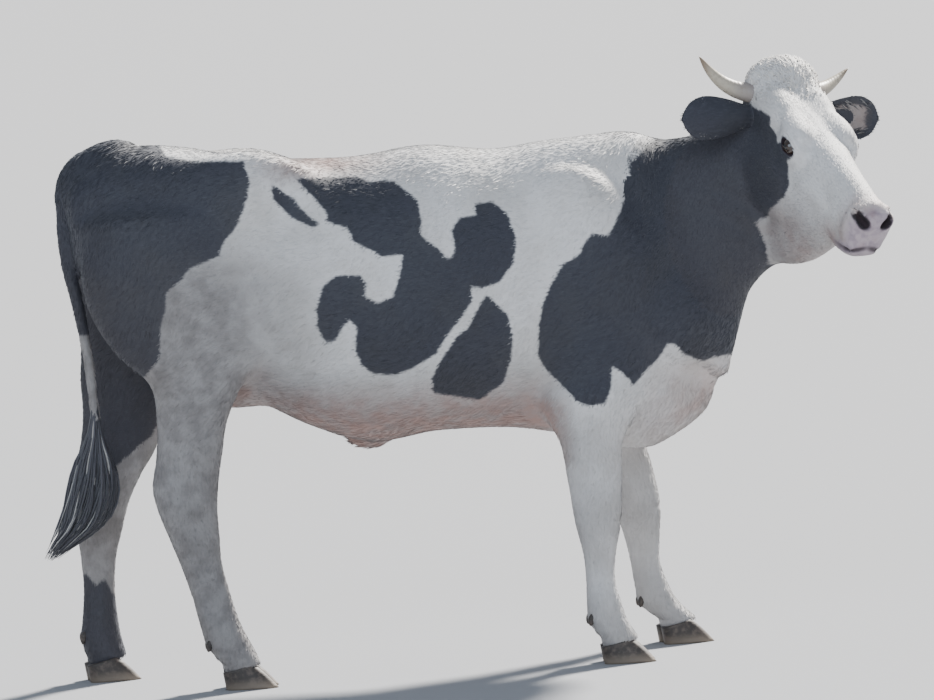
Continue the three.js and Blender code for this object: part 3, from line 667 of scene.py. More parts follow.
def paint_value(thing, name, values):
    """A number for every corner, which the materials read by its name."""
    layer = thing.data.attributes.new(name, "FLOAT", "POINT")
    layer.data.foreach_set("value", np.asarray(values, np.float32))


# ------------------------------------------------------------------ ears
# Rows of share of the length, half width and depth of the cup. EAR_OPENS is how
# far, in degrees from straight ahead, each ear's hollow turns up.

EAR_ROWS = [[0, 24, 3], [0.2, 33, 16], [0.45, 49, 20], [0.7, 56, 16], [0.88, 45, 9],
            [0.97, 27, 4], [1, 13, 2]]
EAR_ROOT, EAR_TIP, EAR_THICKNESS = (26, 68, -68), (20, 275, -82), 13
EAR_OPENS = {"right": 214, "left": 30}


def ear_frame(name, side):
    """An ear's root, length, and its directions along, out of its hollow and across."""
    root = spot(HEAD, EAR_ROOT[0], side * EAR_ROOT[1], EAR_ROOT[2])
    tip = spot(HEAD, EAR_TIP[0], side * EAR_TIP[1], EAR_TIP[2])
    along = unit(tip - root)
    turn = math.radians(EAR_OPENS[name])
    opens = HEAD[1][0] * math.cos(turn) + HEAD[1][2] * math.sin(turn)
    opens = unit(opens - along * (opens @ along))
    return root, np.linalg.norm(tip - root), along, opens, np.cross(opens, along)


EARS = (("right", -1), ("left", 1))


def ear_shape(name, side, steps=56, bands=40):
    """A leaf of skin that is cupped forward, thin at its rim."""
    root, length, along, opens, across = ear_frame(name, side)
    angle = 2 * math.pi * np.arange(steps) / steps
    w = np.cos(angle)
    rings = []
    for t in np.linspace(0, 1, bands + 1):
        _, width, cup = row_at(EAR_ROWS, [t])[0]
        thick = (EAR_THICKNESS * (1.25 - 0.6 * t) / 2 - COAT_DEPTH * 0.6)
        deeper = 5 * (1 - w**2) * math.sin(math.pi * min(t * 1.15, 1)) * (np.sin(angle) > 0)
        rings.append(root + np.outer(t * length - 5 * w * w, along)
                     + np.outer(w * (width - COAT_DEPTH), across)
                     + np.outer(cup * (w * w - 0.5) + thick * np.sin(angle) - deeper, opens))
    return rings_mesh(rings)


def ear_place(points, name, side):
    """Share of the ear's length, place across it and height above its middle."""
    root, length, along, opens, across = ear_frame(name, side)
    offset = points - root
    share = offset @ along / length
    row = row_at(EAR_ROWS, share)
    w = (offset @ across) / row[:, 1]
    return share, w, offset @ opens - row[:, 2] * (w * w - 0.5)


# ------------------------------------------------------------------ the skin
# An even net over the whole body is settled on the surface. Its faces are made
# finer on the head, and finer again round the eyes, the nostrils and the mouth.

CELL = 9.3
skin_points, skin_faces = skin_net(skin_level, [-830, -580, 20], [1230, 310, 1480], CELL)
for share in (0.5, 0.35):
    skin_points, _ = settle(skin_level, relax(skin_points, skin_faces, share), 1)
middles = skin_points[skin_faces].mean(1)
head_part, _ = mirrored(middles)
on_head = (head_part[:, 0] > 60) & (head_part[:, 2] > -210) & (from_head(middles, 270, -90) < 330)
skin_points, face_lists = finer(skin_points, skin_faces, on_head)
skin_faces = triangles_of(face_lists)
_, folded_part = mirrored(skin_points[skin_faces].mean(1))
across, high, out = eye_place(folded_part)
fine_part = ((across**2 + high**2) < 34**2) & (out > 0)
fine_part |= np.linalg.norm(folded_part - NOSTRIL_AT, axis=1) < 34
fine_part |= mouth_gap(folded_part) < 10
skin_points, _ = settle(skin_level, skin_points, 1)
skin_points, face_lists = finer(skin_points, skin_faces, fine_part)
skin_faces = triangles_of(face_lists)
skin_points, _ = settle(skin_level, skin_points, 2)
for share in (0.3, 0.2):
    skin_points, skin_out = settle(skin_level, relax(skin_points, skin_faces, share), 1)

# The ears are welded on, and the joints smoothed.
skin_points, skin_faces = welded([(skin_points, skin_faces)] + [ear_shape(*ear) for ear in EARS])
level = np.full(len(skin_points), 1e3)
near_ears = from_head(skin_points, 20, -60) < 300
level[near_ears] = skin_level(skin_points[near_ears])
ear_share = np.full(len(skin_points), -1.0)
ear_pale = np.zeros(len(skin_points))
joint = np.zeros(len(skin_points), bool)
for name, side in EARS:
    share, w, height = ear_place(skin_points, name, side)
    close = (np.abs(w) < 1.3) & (share > -0.1) & (share < 1.1) & (np.abs(height) < 30) & near_ears
    ear = close & (level > 0.5)
    ear_share[ear] = share[ear]
    pale = held((0.85 - np.abs(w)) / 0.4) * held(share / 0.2) * held((1 - share) / 0.25)
    ear_pale = np.where(ear & (height > 0), pale, ear_pale)
    joint |= close & (share < 0.24) & (level < 16)
for _ in range(12):
    skin_points = np.where(joint[:, None], relax(skin_points, skin_faces, 0.5), skin_points)
skin_out = outward(skin_points, skin_faces)
ear_inner = ear_pale > 0.4
skin = mesh_of("skin", skin_points, skin_faces)

# ------------------------------------------------------------------ markings
# Outlines of the black patches, as [forward, height] on each flank.

RIGHT_PATCHES = [
    # rump and the back of the thigh
    [(-480, 1252), (-362, 1246), (-350, 1194), (-366, 1140), (-388, 1094), (-422, 1058), (-432, 1030),
     (-498, 1004), (-510, 1000), (-526, 978), (-564, 950), (-568, 910), (-582, 872), (-588, 792),
     (-614, 766), (-640, 730), (-900, 700), (-950, 1000), (-900, 1330), (-560, 1330), (-540, 1266)],
    # small patch behind the hook
    [(-300, 1188), (-298, 1152), (-254, 1106), (-208, 1080), (-192, 1088), (-218, 1112), (-250, 1152),
     (-284, 1182)],
    # the large hooked patch of the barrel
    [(-246, 1200), (-198, 1194), (-124, 1194), (-86, 1192), (-68, 1180), (-10, 1180), (4, 1168),
     (42, 1132), (46, 1086), (42, 1048), (76, 1022), (94, 998), (110, 992), (120, 1012), (116, 1058),
     (134, 1084), (178, 1090), (178, 1116), (222, 1118), (256, 1084), (270, 1024), (258, 970),
     (222, 930), (180, 918), (152, 924), (154, 892), (120, 846), (88, 810), (62, 770), (6, 738),
     (-34, 724), (-88, 728), (-114, 752), (-128, 790), (-122, 844), (-138, 862), (-154, 846),
     (-170, 816), (-194, 808), (-212, 842), (-214, 888), (-196, 944), (-162, 968), (-108, 966),
     (-94, 946), (-100, 914), (-66, 898), (-34, 912), (-16, 958), (-4, 1008), (-52, 1006),
     (-88, 1028), (-118, 1044), (-128, 1076), (-176, 1094), (-174, 1114), (-202, 1154), (-236, 1190)],
    # the patch below it
    [(188, 902), (204, 888), (238, 850), (248, 790), (242, 742), (222, 686), (166, 648), (110, 662),
     (54, 674), (50, 714), (78, 762), (112, 808), (140, 826), (158, 860)],
    # neck, shoulder and front of the chest
    [(566, 1190), (558, 1134), (538, 1102), (518, 1062), (492, 1022), (452, 1028), (428, 1002),
     (420, 982), (376, 958), (350, 918), (326, 874), (312, 820), (308, 748), (326, 712), (362, 674),
     (390, 636), (424, 620), (460, 624), (476, 656), (484, 708), (502, 700), (534, 662), (564, 690),
     (604, 722), (622, 754), (640, 752), (666, 724), (712, 704), (744, 712), (800, 712), (1300, 712),
     (1300, 1500), (662, 1500), (650, 1262), (626, 1234), (594, 1208)],
]
LEFT_PATCHES = [
    # rump behind the tail and the whole back of the leg, down past the hock
    [(-650, 1330), (-650, 1240), (-610, 1150), (-560, 1085), (-500, 1040), (-450, 960), (-440, 860),
     (-470, 760), (-520, 690), (-580, 625), (-600, 590), (-660, 545), (-720, 500), (-900, 480),
     (-950, 1000), (-900, 1330)],
    # saddle
    [(-290, 1190), (-310, 1120), (-260, 1050), (-250, 980), (-170, 930), (-120, 860), (-60, 800),
     (10, 790), (40, 850), (30, 910), (90, 950), (160, 940), (210, 1000), (190, 1070), (230, 1130),
     (210, 1190), (130, 1215), (40, 1200), (-60, 1212), (-170, 1200)],
    # spot low on the barrel
    [(120, 760), (170, 800), (230, 790), (250, 730), (210, 680), (140, 670), (100, 710)],
    # neck and shoulder
    [(662, 1500), (648, 1262), (622, 1228), (600, 1180), (590, 1120), (556, 1060), (500, 1010),
     (450, 930), (400, 880), (390, 800), (420, 730), (470, 690), (520, 740), (570, 760), (620, 720),
     (690, 700), (744, 712), (1300, 712), (1300, 1500)],
    # stocking of the hind foot
    [(-860, 245), (-775, 262), (-755, 232), (-735, 250), (-716, 214), (-700, 196), (-690, 120),
     (-640, 60), (-640, 0), (-860, 0)],
]
# Black of each side of the head, as [forward, up] from the poll.
HEAD_PATCHES = {
    -1: [(-220, -40), (-30, -46), (12, -46), (40, -40), (62, -28), (100, -22), (108, -42), (139, -49),
         (168, -50), (190, -26), (226, -28), (232, -44), (218, -66), (221, -99), (239, -118),
         (235, -155), (214, -199), (181, -245), (156, -275), (156, -291), (173, -315), (194, -332),
         (196, -369), (189, -403), (189, -900), (-700, -900), (-700, -40)],
    1: [(-220, -46), (0, -52), (60, -40), (104, -38), (150, -62), (176, -60), (196, -66), (200, -100),
        (186, -150), (198, -200), (176, -250), (160, -290), (176, -340), (186, -420), (186, -900),
        (-700, -900), (-700, -46)],
}


def depth_inside(outline, x, y):
    """How far inside an outline places lie; negative outside it."""
    nearest, odd = np.full(len(x), 1e6), np.zeros(len(x), bool)
    for (ax, ay), (bx, by) in zip(outline, outline[1:] + outline[:1]):
        ex, ey = bx - ax, by - ay
        t = held(((x - ax) * ex + (y - ay) * ey) / (ex * ex + ey * ey))
        nearest = np.minimum(nearest, np.hypot(x - ax - t * ex, y - ay - t * ey))
        if ay != by:
            odd ^= ((ay > y) != (by > y)) & (x < ax + (y - ay) * ex / (by - ay))
    return np.where(odd, nearest, -nearest)


def black_depth(points):
    """How far inside a black patch each place on the skin lies, in millimetres."""
    x, y, z = points.T
    right = np.max([depth_inside(outline, x, z) for outline in RIGHT_PATCHES], axis=0)
    left = np.max([depth_inside(outline, x, z) for outline in LEFT_PATCHES], axis=0)
    over = held((y + 8) / 16)
    depth = right * (1 - over) + left * over
    head = local(HEAD, points)
    near = (from_head(points, 180, -130) < 430) & (head[:, 2] > -388)
    for side, outline in HEAD_PATCHES.items():
        part = near & (np.sign(head[:, 1] + 1e-6) == side)
        depth[part] = np.minimum(np.maximum(depth[part], 60.0 * (head[part, 0] > -30)),
                                 depth_inside(outline, head[part, 0], head[part, 2]))
    tail = (x < -640) & (tail_distance(points) < 5) & (z < 1180)
    depth[tail] = z[tail] - 850
    across, high, out = eye_place(mirrored(points)[1])
    lids = 20 * (1 - np.hypot((across + 5) / 27, (high + 1) / 12))
    return np.where((out > 0) & (z > HEAD_LOW), np.maximum(depth, np.clip(lids, -1e3, 14)), depth)


def bare_skin(points):
    """1 on the hairless skin of the muzzle, lips and lids, 0 on the coat."""
    _, folded = mirrored(points)
    on_face = from_head(points, 400, -80) < 260
    edge = 473 - 12 * bump(folded[:, 1], 0, 24) + 0.3 * (folded[:, 2] + 60) * (folded[:, 2] > -60)
    edge = np.where(folded[:, 2] < -118, 455 + 0.3 * (folded[:, 2] + 118), edge)
    muzzle = held((folded[:, 0] - edge + 8) / 28)
    muzzle = np.maximum(muzzle, held(1.4 - mouth_gap(folded) / 8))
    return muzzle * on_face


def shadowed(points):
    """1 in the dark wet places: painted shade in the nostrils and wherever the skin sinks below the
    muzzle, along the line of the mouth and under the lower lip, and the dark edge of the lids.
    """
    _, folded = mirrored(points)
    # painted shade inside the nostrils
    dark = held((1.3 - np.minimum(*nostril_levels(folded, (29, 19, 12.5), (21, 12, 9.5)))) / 0.3)
    # painted shade wherever the skin sinks below the muzzle's surface
    near = np.linalg.norm(folded - NOSTRIL_AT, axis=1) < 36
    sunk = np.zeros(len(points))
    sunk[near] = -flesh(points[near]) - COAT_DEPTH
    dark = np.maximum(dark, held(sunk / 4 - 0.5))
    # painted shade along the line of the mouth and under the lower lip
    dark = np.maximum(dark, 0.9 * held((11 - mouth_gap(folded)) / 7))
    dark = np.maximum(dark, 0.4 * bump(folded[:, 0], 482, 42) * bump(folded[:, 2], -146, 15))
    across, high, out = eye_place(folded)
    lid = held((1.5 - np.sqrt((across / 20.5) ** 2 + (high / 10.0) ** 2)) / 0.3) * (out > 0)
    return np.maximum(dark, lid) * (from_head(points, 300, -80) < 300)


def thin_hair_and_painted_light(points, out):
    """1 where pink skin shows through the hair: belly, groin, brisket, inside of the thighs. Under the
    belly and on the throat and chin it also paints shade, and on the loin a sheen of the sun.
    """
    x, y, z = points.T
    low = held((720 - z) / 120) * held((390 - np.abs(x)) / 60) * (z > 480)
    # pinker where the skin faces down: thin hair, and painted shade under the belly
    belly = low * held(-out[:, 2] + 0.6)
    groin = bump(x, -420, 150) * bump(z, 700, 130) * held(1.2 - np.abs(y) / 150)
    brisket = 0.7 * bump(x, 690, 150) * bump(z, 620, 120) * held(1.5 - np.abs(y) / 120)
    _, folded = mirrored(points)
    # throat and chin: pink skin, and painted shade under the jaw and the lower lip
    throat = 0.45 * bump(folded[:, 0], 300, 130) * bump(folded[:, 2], -270, 90) * (folded[:, 1] < 120)
    chin = 0.8 * bump(folded[:, 0], 440, 60) * bump(folded[:, 2], -150, 40)
    nose = 0.6 * held((folded[:, 0] - 405) / 50) * (np.abs(folded[:, 1]) < 120)
    # loin: tan-pink, partly a painted sheen of the sun
    loin = 0.9 * bump(x, -165, 120) * bump(z, 1228, 34) * (y < 60)
    face = np.max([throat, chin, nose], axis=0) * (z > THROAT_LOW)
    return held(np.max([belly, groin, brisket, face, loin], axis=0))


def soiling_and_painted_light(points):
    """How much the coat is stained with earth: legs, belly, loin, cheeks and lips. On the hindquarters,
    under the belly and on the lower cheeks and lips it also paints shade, and on the loin a sheen of the
    sun.
    """
    x, _, z = points.T
    hind = held((-x - 120) / 330)
    # hindquarters, thighs down: earth on the legs, and painted shade over the thighs and hind legs
    legs = 1.15 * hind * (0.9 + 0.1 * held((640 - z) / 200)) * held((1120 - z) / 160)
    front = (1 - hind) * (0.28 + 0.2 * bump(z, 340, 60)) * held((640 - z) / 100)
    feet = 0.4 * held((200 - z) / 150)
    # under the belly: earth stain and painted shade
    under = 0.9 * held((760 - z) / 140) * held((400 - x) / 70) * (z > 480) * (x > -430)
    # tan band along the loin: partly the coat's own tint, partly a painted sheen of the sun
    loin = 0.8 * bump(x, -190, 115) * bump(z, 1225, 36)
    _, folded = mirrored(points)
    on_head = from_head(points, 250, -170) < 360
    # lower cheeks and lips: painted shade under the jaw and the lower lip, with some earth
    cheek = 0.8 * held((-90 - folded[:, 2]) / 130) * on_head
    lips = 0.7 * bump(folded[:, 0], 478, 52) * bump(folded[:, 2], -142, 32) * on_head
    chest = 0.3 * bump(x, 650, 130) * bump(z, 660, 120)
    return held(legs + front + feet + under + loin + cheek + lips + chest)


EAR_PINK = 0.3  # inside the ears


def ear_black(pale):
    """How black the ears are: all over outside, and tan with dark hairs inside."""
    return 20 - 27 * pale


# ------------------------------------------------------------------ unwrap
# Each part of the skin is rolled out about its own middle line. A chart is the
# first and last place along that line, its box on the sheet (left, low, wide,
# tall) and its usual radius.

CHARTS = {
    "trunk": ((-840, 860), (0.01, 0.01, 0.60, 0.60), 270),
    "neck": ((40, 560), (0.63, 0.01, 0.20, 0.36), 130),
    "head": ((-190, 640), (0.01, 0.63, 0.40, 0.36), 95),
    "foreleg_right": ((20, 720), (0.43, 0.63, 0.13, 0.17), 45),
    "foreleg_left": ((20, 720), (0.43, 0.82, 0.13, 0.17), 45),
    "hindleg_right": ((20, 760), (0.58, 0.63, 0.13, 0.17), 50),
    "hindleg_left": ((20, 760), (0.58, 0.82, 0.13, 0.17), 50),
    "inner_right": ((-840, 860), (0.73, 0.63, 0.26, 0.17), 270),
    "inner_left": ((-840, 860), (0.73, 0.82, 0.26, 0.17), 270),
    "tail": ((600, 1300), (0.85, 0.01, 0.14, 0.17), 25),
    "ear_right": ((-20, 240), (0.85, 0.20, 0.14, 0.17), 40),
    "ear_left": ((-20, 240), (0.85, 0.39, 0.14, 0.17), 40),
}
CHART_NAMES = list(CHARTS)


def chart_of(points, out):
    """The number of the chart that each place belongs to."""
    x, y, z = points.T
    chart = np.zeros(len(points), int)
    along_neck = local(NECK, points)[:, 0]
    chart[(along_neck > 150) & (x > 560) & (z > 760)] = CHART_NAMES.index("neck")
    head = local(HEAD, points)
    chart[(before_nape(head) > -57) & (from_head(points, 230, -140) < 400)] = CHART_NAMES.index("head")
    inward = np.sign(y) * out[:, 1] < -0.15
    low = (z < 860) & (np.abs(y) > 15) & (x < 560)
    chart[low & inward & (y < 0)] = CHART_NAMES.index("inner_right")
    chart[low & inward & (y > 0)] = CHART_NAMES.index("inner_left")
    for name in FEET:
        row = row_at(LEG_ROWS[name], z)
        close = (np.hypot(x - row[:, 1], y - row[:, 2]) < 1.5 * row[:, 3] + 25) & (z < 560)
        chart[close & (np.sign(y) == np.sign(row[:, 2]))] = CHART_NAMES.index(name)
    behind = (x < -600) & (z > 600) & (tail_distance(points) < 6)
    chart[behind & (z < 1225)] = CHART_NAMES.index("tail")
    for name, side in EARS:
        share, w, _ = ear_place(points, name, side)
        outer = (np.abs(w) < 1.4) & (share > 0.12) & (np.abs(head[:, 1]) > 100) & (head[:, 0] < 75)
        outer &= (np.sign(head[:, 1]) == side) & (z > HEAD_LOW)
        chart[outer] = CHART_NAMES.index(f"ear_{name}")
    return chart


def rolled(points, name):
    """Place along a chart's middle line and angle about it."""
    x, y, z = points.T
    if name == "trunk":
        angle = np.arctan2(y, z - 880)
        radius = np.hypot(y, z - 880)
        return x + 0.6 * np.tanh((x - 20) / 500) * (330 - radius), angle
    if name == "neck":
        s, side, up = local(NECK, points).T
        return s, np.arctan2(side, up)
    if name == "head":
        s, side, up = local(HEAD, points).T
        radius = np.hypot(side, up + 90)
        return s + 0.8 * np.tanh((s - 200) / 160) * (110 - radius), np.arctan2(side, up + 90)
    if name in FEET:
        row = row_at(LEG_ROWS[name], z)
        return z, np.arctan2(y - row[:, 2], row[:, 1] - x)
    if name.startswith("ear"):
        share, w, height = ear_place(points, name[4:], dict(EARS)[name[4:]])
        return share * 207, np.arctan2(height, 50 * w)
    if name == "tail":
        middle = np.stack([np.interp(z, TAIL_LINE[::-1, 2], TAIL_LINE[::-1, k]) for k in (0, 1)], 1)
        return z, np.arctan2(y - middle[:, 1], x - middle[:, 0])
    return x, (z - 700) / 300


def sheet_place(points, charts, middle_angle=None):
    """Places on the unwrapped sheet, 0 to 1, and places in metres along the lie of
    the hair. Corners of one face stay on the same turn as its middle angle."""
    sheet, lie = np.zeros((len(points), 2)), np.zeros((len(points), 2))
    for number, name in enumerate(CHART_NAMES):
        part = charts == number
        if not part.any():
            continue
        (first, last), (left, low, wide, tall), radius = CHARTS[name]
        s, angle = rolled(points[part], name)
        if middle_angle is not None:
            turn = angle - middle_angle[part]
            angle = angle - 2 * np.pi * np.round(turn / (2 * np.pi))
        share = 0.03 + 0.94 * (angle + np.pi) / (2 * np.pi)
        sheet[part, 0] = left + wide * held((s - first) / (last - first))
        sheet[part, 1] = low + tall * held(share)
        lie[part] = np.stack([s, angle * radius], 1) * MM
    return sheet, lie


def paint_sheet(thing, name, places):
    """A UV map from a place for each corner of each face."""
    layer = thing.data.uv_layers.new(name=name)
    layer.data.foreach_set("uv", np.asarray(places, np.float32).ravel())


middles = skin_points[skin_faces].mean(1)
face_out = unit(skin_out[skin_faces].mean(1))
face_chart = chart_of(middles, face_out)
middle_angle = np.zeros(len(middles))
for number, name in enumerate(CHART_NAMES):
    part = face_chart == number
    middle_angle[part] = rolled(middles[part], name)[1]
sheet, lie = sheet_place(skin_points[skin_faces.ravel()], np.repeat(face_chart, 3),
                         np.repeat(middle_angle, 3))
paint_sheet(skin, "OFBake", sheet)
paint_sheet(skin, "Lie", lie)
on_ear = ear_share > 0.1
black = black_depth(skin_points)
black[on_ear] = ear_black(ear_pale[on_ear])
pink = thin_hair_and_painted_light(skin_points, skin_out)
pink[ear_inner] = EAR_PINK
soil = soiling_and_painted_light(skin_points)
soil[ear_inner] = 1.0
skin_values = {"black": black, "bare": bare_skin(skin_points), "pink": pink, "soil": soil,
               "shade": np.full(len(skin_points), 0.5), "dark": shadowed(skin_points)}
for name, numbers in skin_values.items():
    paint_value(skin, name, numbers)

# ------------------------------------------------------------------ coat

TUFTS = 118000
PIECE_TUFTS = 19500  # with ten triangles each, a piece stays under 200,000
BORDER = 15  # so near a patch's edge the hair is short, which keeps the edge crisp


def lie_of(points, out):
    """Which way the hair lies at each place, along the skin."""
    x, y, z = points.T
    flow = np.tile([-1.0, 0, -0.42], (len(points), 1))
    flow[:, 2] -= 0.5 * held((x - 380) / 160) + 1.1 * held((-x - 470) / 140)
    legs = held((700 - z) / 170) * ((np.abs(x - 500) < 200) | (x < -400))
    flow += legs[:, None] * (np.array([-0.12, 0, -1.0]) - flow)
    along_neck = local(NECK, points)[:, 0]
    neck = held((along_neck - 60) / 140) * (x > 500) * held((z - 700) / 150)
    flow += neck[:, None] * (-NECK[1][0] - 0.55 * NECK[1][2] - flow)
    head, folded = mirrored(points)
    face = held((before_nape(head) + 110) / 70) * (from_head(points, 230, -140) < 420)
    side = np.sign(head[:, 1])[:, None] * HEAD[1][1]
    back = -HEAD[1][0] + 0.35 * side - 0.5 * held(-folded[:, 2:] / 160 - 0.4) * HEAD[1][2]
    flow += face[:, None] * (back - flow)
    tail = (x < -700) & (tail_distance(points) < 6)
    flow[tail] = [0, 0, -1]
    for name, ear_turn in EARS:
        share, w, _ = ear_place(points, name, ear_turn)
        ear = (np.abs(w) < 1.4) & (share > 0.1) & (share < 1.2) & (np.sign(head[:, 1]) == ear_turn) & (
            np.abs(head[:, 1]) > 95) & (head[:, 0] < 80) & (z > HEAD_LOW)
        _, _, along, _, across = ear_frame(name, ear_turn)
        flow[ear] = along + 0.35 * w[ear, None] * across
    flow -= (flow * out).sum(1)[:, None] * out
    flow = unit(flow)
    swirl = 0.2 * np.sin(x / 43 + z / 61) + 0.16 * np.sin(y / 37 - z / 29 + x / 90)
    return np.cos(swirl)[:, None] * flow + np.sin(swirl)[:, None] * np.cross(out, flow)


def hair_length(points, out):
    """Length of the hair in millimetres, short on the face and the feet."""
    x, y, z = points.T
    length = 17 - 6 * held((640 - z) / 330) * ((x > 300) | (x < -380))
    head = local(HEAD, points)
    near_head = held((420 - from_head(points, 230, -140)) / 130)
    length -= 8.5 * near_head
    length += 8 * bump(z, 560, 70) * (np.abs(x - 130) < 330) * held(-out[:, 2])
    length += 9 * bump(x, 700, 80) * bump(z, 640, 120) * bump(y, 0, 60)
    length += 8 * bump(x, -640, 70) * bump(z, 800, 120)
    on_poll = (head[:, 2] > -60) & (z > HEAD_LOW)
    length += 7 * bump(head[:, 0], -40, 60) * bump(head[:, 1], 0, 80) * on_poll
    length += 7 * bump(z, 100, 26) * held(-out[:, 0] + 0.1)
    return np.clip(length, 6.5, 32)


def scattered(count):
    """Places spread over the skin, closer together where the hair is short."""
    corners = skin_points[skin_faces]
    sides = corners[:, 1:] - corners[:, :1]
    area = 0.5 * np.linalg.norm(np.cross(sides[:, 0], sides[:, 1]), axis=1)
    middles = corners.mean(1)
    out = unit(skin_out[skin_faces].mean(1))
    covered = (bare_skin(middles) < 0.45) & (shadowed(middles) < 0.3) & (above_hooves(middles) < -3)
    weight = area * covered * (16 / hair_length(middles, out)) ** 1.2
    total = np.cumsum(weight)
    pick = np.searchsorted(total, (np.arange(count) + dice.uniform(0, 1, count)) / count * total[-1])
    pick = np.minimum(pick, len(skin_faces) - 1)
    a, b = np.sqrt(dice.uniform(0, 1, count)), dice.uniform(0, 1, count)
    share = np.stack([1 - a, a * (1 - b), a * b], 1)[:, :, None]
    return pick, (corners[pick] * share).sum(1), unit((skin_out[skin_faces[pick]] * share).sum(1))


def tuft_corners(roots, out, lie, length, width, lift):
    """Seven corners of every tuft: a broad root, a middle and a tip that lies down."""
    across = np.cross(out, lie)
    half = 0.5 * width[:, None]
    length, lift = length[:, None], lift[:, None]
    middle = roots + 0.48 * length * lie + (0.55 + 0.55 * lift * length) * out
    corners = [roots + half * across - 0.5 * out, roots - half * across - 0.5 * out,
               roots - 0.2 * length * lie - 1.8 * out,
               middle + 0.82 * half * across, middle - 0.82 * half * across, middle - 0.75 * half * out,
               roots + length * lie + (0.1 + lift * length) * out]
    return np.stack(corners, 1)


# Triangles over the corners that tuft_corners gives.
TUFT_FACES = np.array([[2, 1, 0], [1, 4, 0], [4, 3, 0], [2, 5, 1], [5, 4, 1], [0, 3, 2], [3, 5, 2],
                       [4, 6, 3], [5, 6, 4], [3, 6, 5]])
# Each corner's place on the tuft, [along, across], 0 to 1.
TUFT_SHEET = np.array([[0.1, 1], [0.1, 0], [0, 0.5], [0.5, 0.9], [0.5, 0.1], [0.5, 0.5], [1, 0.5]])
PATCH = 0.003  # a tuft's or a lock's size on the sheet


def tuft_piece(name, shapes, sheet_at, lie_at, facing, values):
    """One coat piece from many tufts, with each tuft's own place on the sheets.
    A tuft is lit as the skin under it is."""
    count, size = shapes.shape[:2]
    all_faces = (TUFT_FACES[None] + size * np.arange(count)[:, None, None]).reshape(-1, 3)
    piece = mesh_of(name, shapes.reshape(-1, 3), all_faces)
    for sheet_name, places in (("OFBake", sheet_at), ("Lie", lie_at)):
        paint_sheet(piece, sheet_name, places.reshape(-1, 2)[all_faces.ravel()])
    for value_name, numbers in values.items():
        paint_value(piece, value_name, np.repeat(numbers, size))
    piece.data.normals_split_custom_set_from_vertices(np.repeat(facing, size, axis=0))
    return piece


picked, roots, root_out = scattered(TUFTS)
lie_way = lie_of(roots, root_out)
turned = dice.normal(0, 0.2, len(roots))[:, None]
lie_way = np.cos(turned) * lie_way + np.sin(turned) * np.cross(root_out, lie_way)
ear_roots = (ear_share[skin_faces[picked]] > 0.1).all(1)
inner_roots = ear_inner[skin_faces[picked]].all(1)
root_depth = black_depth(roots)
length = hair_length(roots, root_out) * np.where(ear_roots, 0.6, 1.0)
length *= np.where(np.abs(root_depth) < BORDER, 0.55, 1.0)
width = np.clip(0.14 * length + 0.5, 1.4, 4.2) * dice.uniform(0.75, 1.25, len(roots))
lift = np.abs(dice.normal(0.012, 0.022, len(roots)))
poll_place = local(HEAD, roots)
poll = bump(poll_place[:, 0], -30, 70) * bump(poll_place[:, 1], 0, 90) * (poll_place[:, 2] > -50)
lift += 0.25 * poll * (roots[:, 2] > HEAD_LOW)
shapes = tuft_corners(roots, root_out, lie_way, length * dice.uniform(0.8, 1.2, len(roots)), width, lift)
root_sheet, root_lie = sheet_place(roots, face_chart[picked], middle_angle[picked])
sheet_at = root_sheet[:, None] + PATCH * (TUFT_SHEET[None] - 0.5)
lie_at = root_lie[:, None] + TUFT_SHEET[None] * np.stack([length, width], 1)[:, None] * MM
root_black = root_depth + dice.normal(0, 1.5, len(roots))
root_pink = thin_hair_and_painted_light(roots, root_out)
root_black[ear_roots] = ear_black(ear_pale[skin_faces[picked]].mean(1)[ear_roots])
root_pink[inner_roots] = EAR_PINK
root_soil_and_painted_light = soiling_and_painted_light(roots)
root_soil_and_painted_light[inner_roots] = 1.0
root_values = {"black": root_black, "bare": np.zeros(len(roots)), "pink": root_pink,
               "soil": root_soil_and_painted_light, "shade": dice.uniform(0, 1, len(roots)),
               "dark": np.zeros(len(roots))}
facing = unit(root_out + 0.16 * dice.normal(0, 1, root_out.shape) + 0.1 * lie_way)
order = np.argsort(face_chart[picked] * 1e4 + roots[:, 0], kind="stable")
coat = []
for n, part in enumerate(np.array_split(order, math.ceil(TUFTS / PIECE_TUFTS))):
    values = {key: numbers[part] for key, numbers in root_values.items()}
    coat.append(tuft_piece(f"coat_{n + 1}", shapes[part], sheet_at[part], lie_at[part],
                           facing[part], values))

# ------------------------------------------------------------------ feet


def claw_shape(name, side, steps=44, bands=12):
    """One claw: a flat sole, a sloping front wall and a slanting hair line."""
    place = foot_axes(name)
    rake = CORONET_FRONT / math.tan(math.radians(TOE_ANGLE))
    angle = 2 * math.pi * np.arange(steps) / steps
    rings = []
    for rise in np.linspace(0, 1, bands + 1):
        length = CLAW_LENGTH - rake * rise + 6 * rise
        width = CLAW_WIDTH * (1 - 0.06 * rise)
        along = (np.sign(np.cos(angle)) * np.abs(np.cos(angle)) ** 0.85 - 1) / 2 * length - rake * rise
        inner = np.sin(angle) * side < 0
        bulge = np.sign(np.sin(angle)) * np.abs(np.sin(angle)) ** np.where(inner, 0.45, 0.8)
        across = bulge * width / 2 + side * (CLAW_WIDTH + CLAW_SPLIT) / 2
        up = rise * (CORONET_FRONT + CORONET_SLOPE * along)
        ring = place[0] + np.stack([along, across, up], 1) @ place[1]
        rings.append(ring)
    return rings_mesh(rings)


DEWCLAW_HEIGHT, DEWCLAW_SUNK, DEWCLAW_SPREAD = 108, 8, 21
DEWCLAW_HALVES = (10, 9, 15.2)


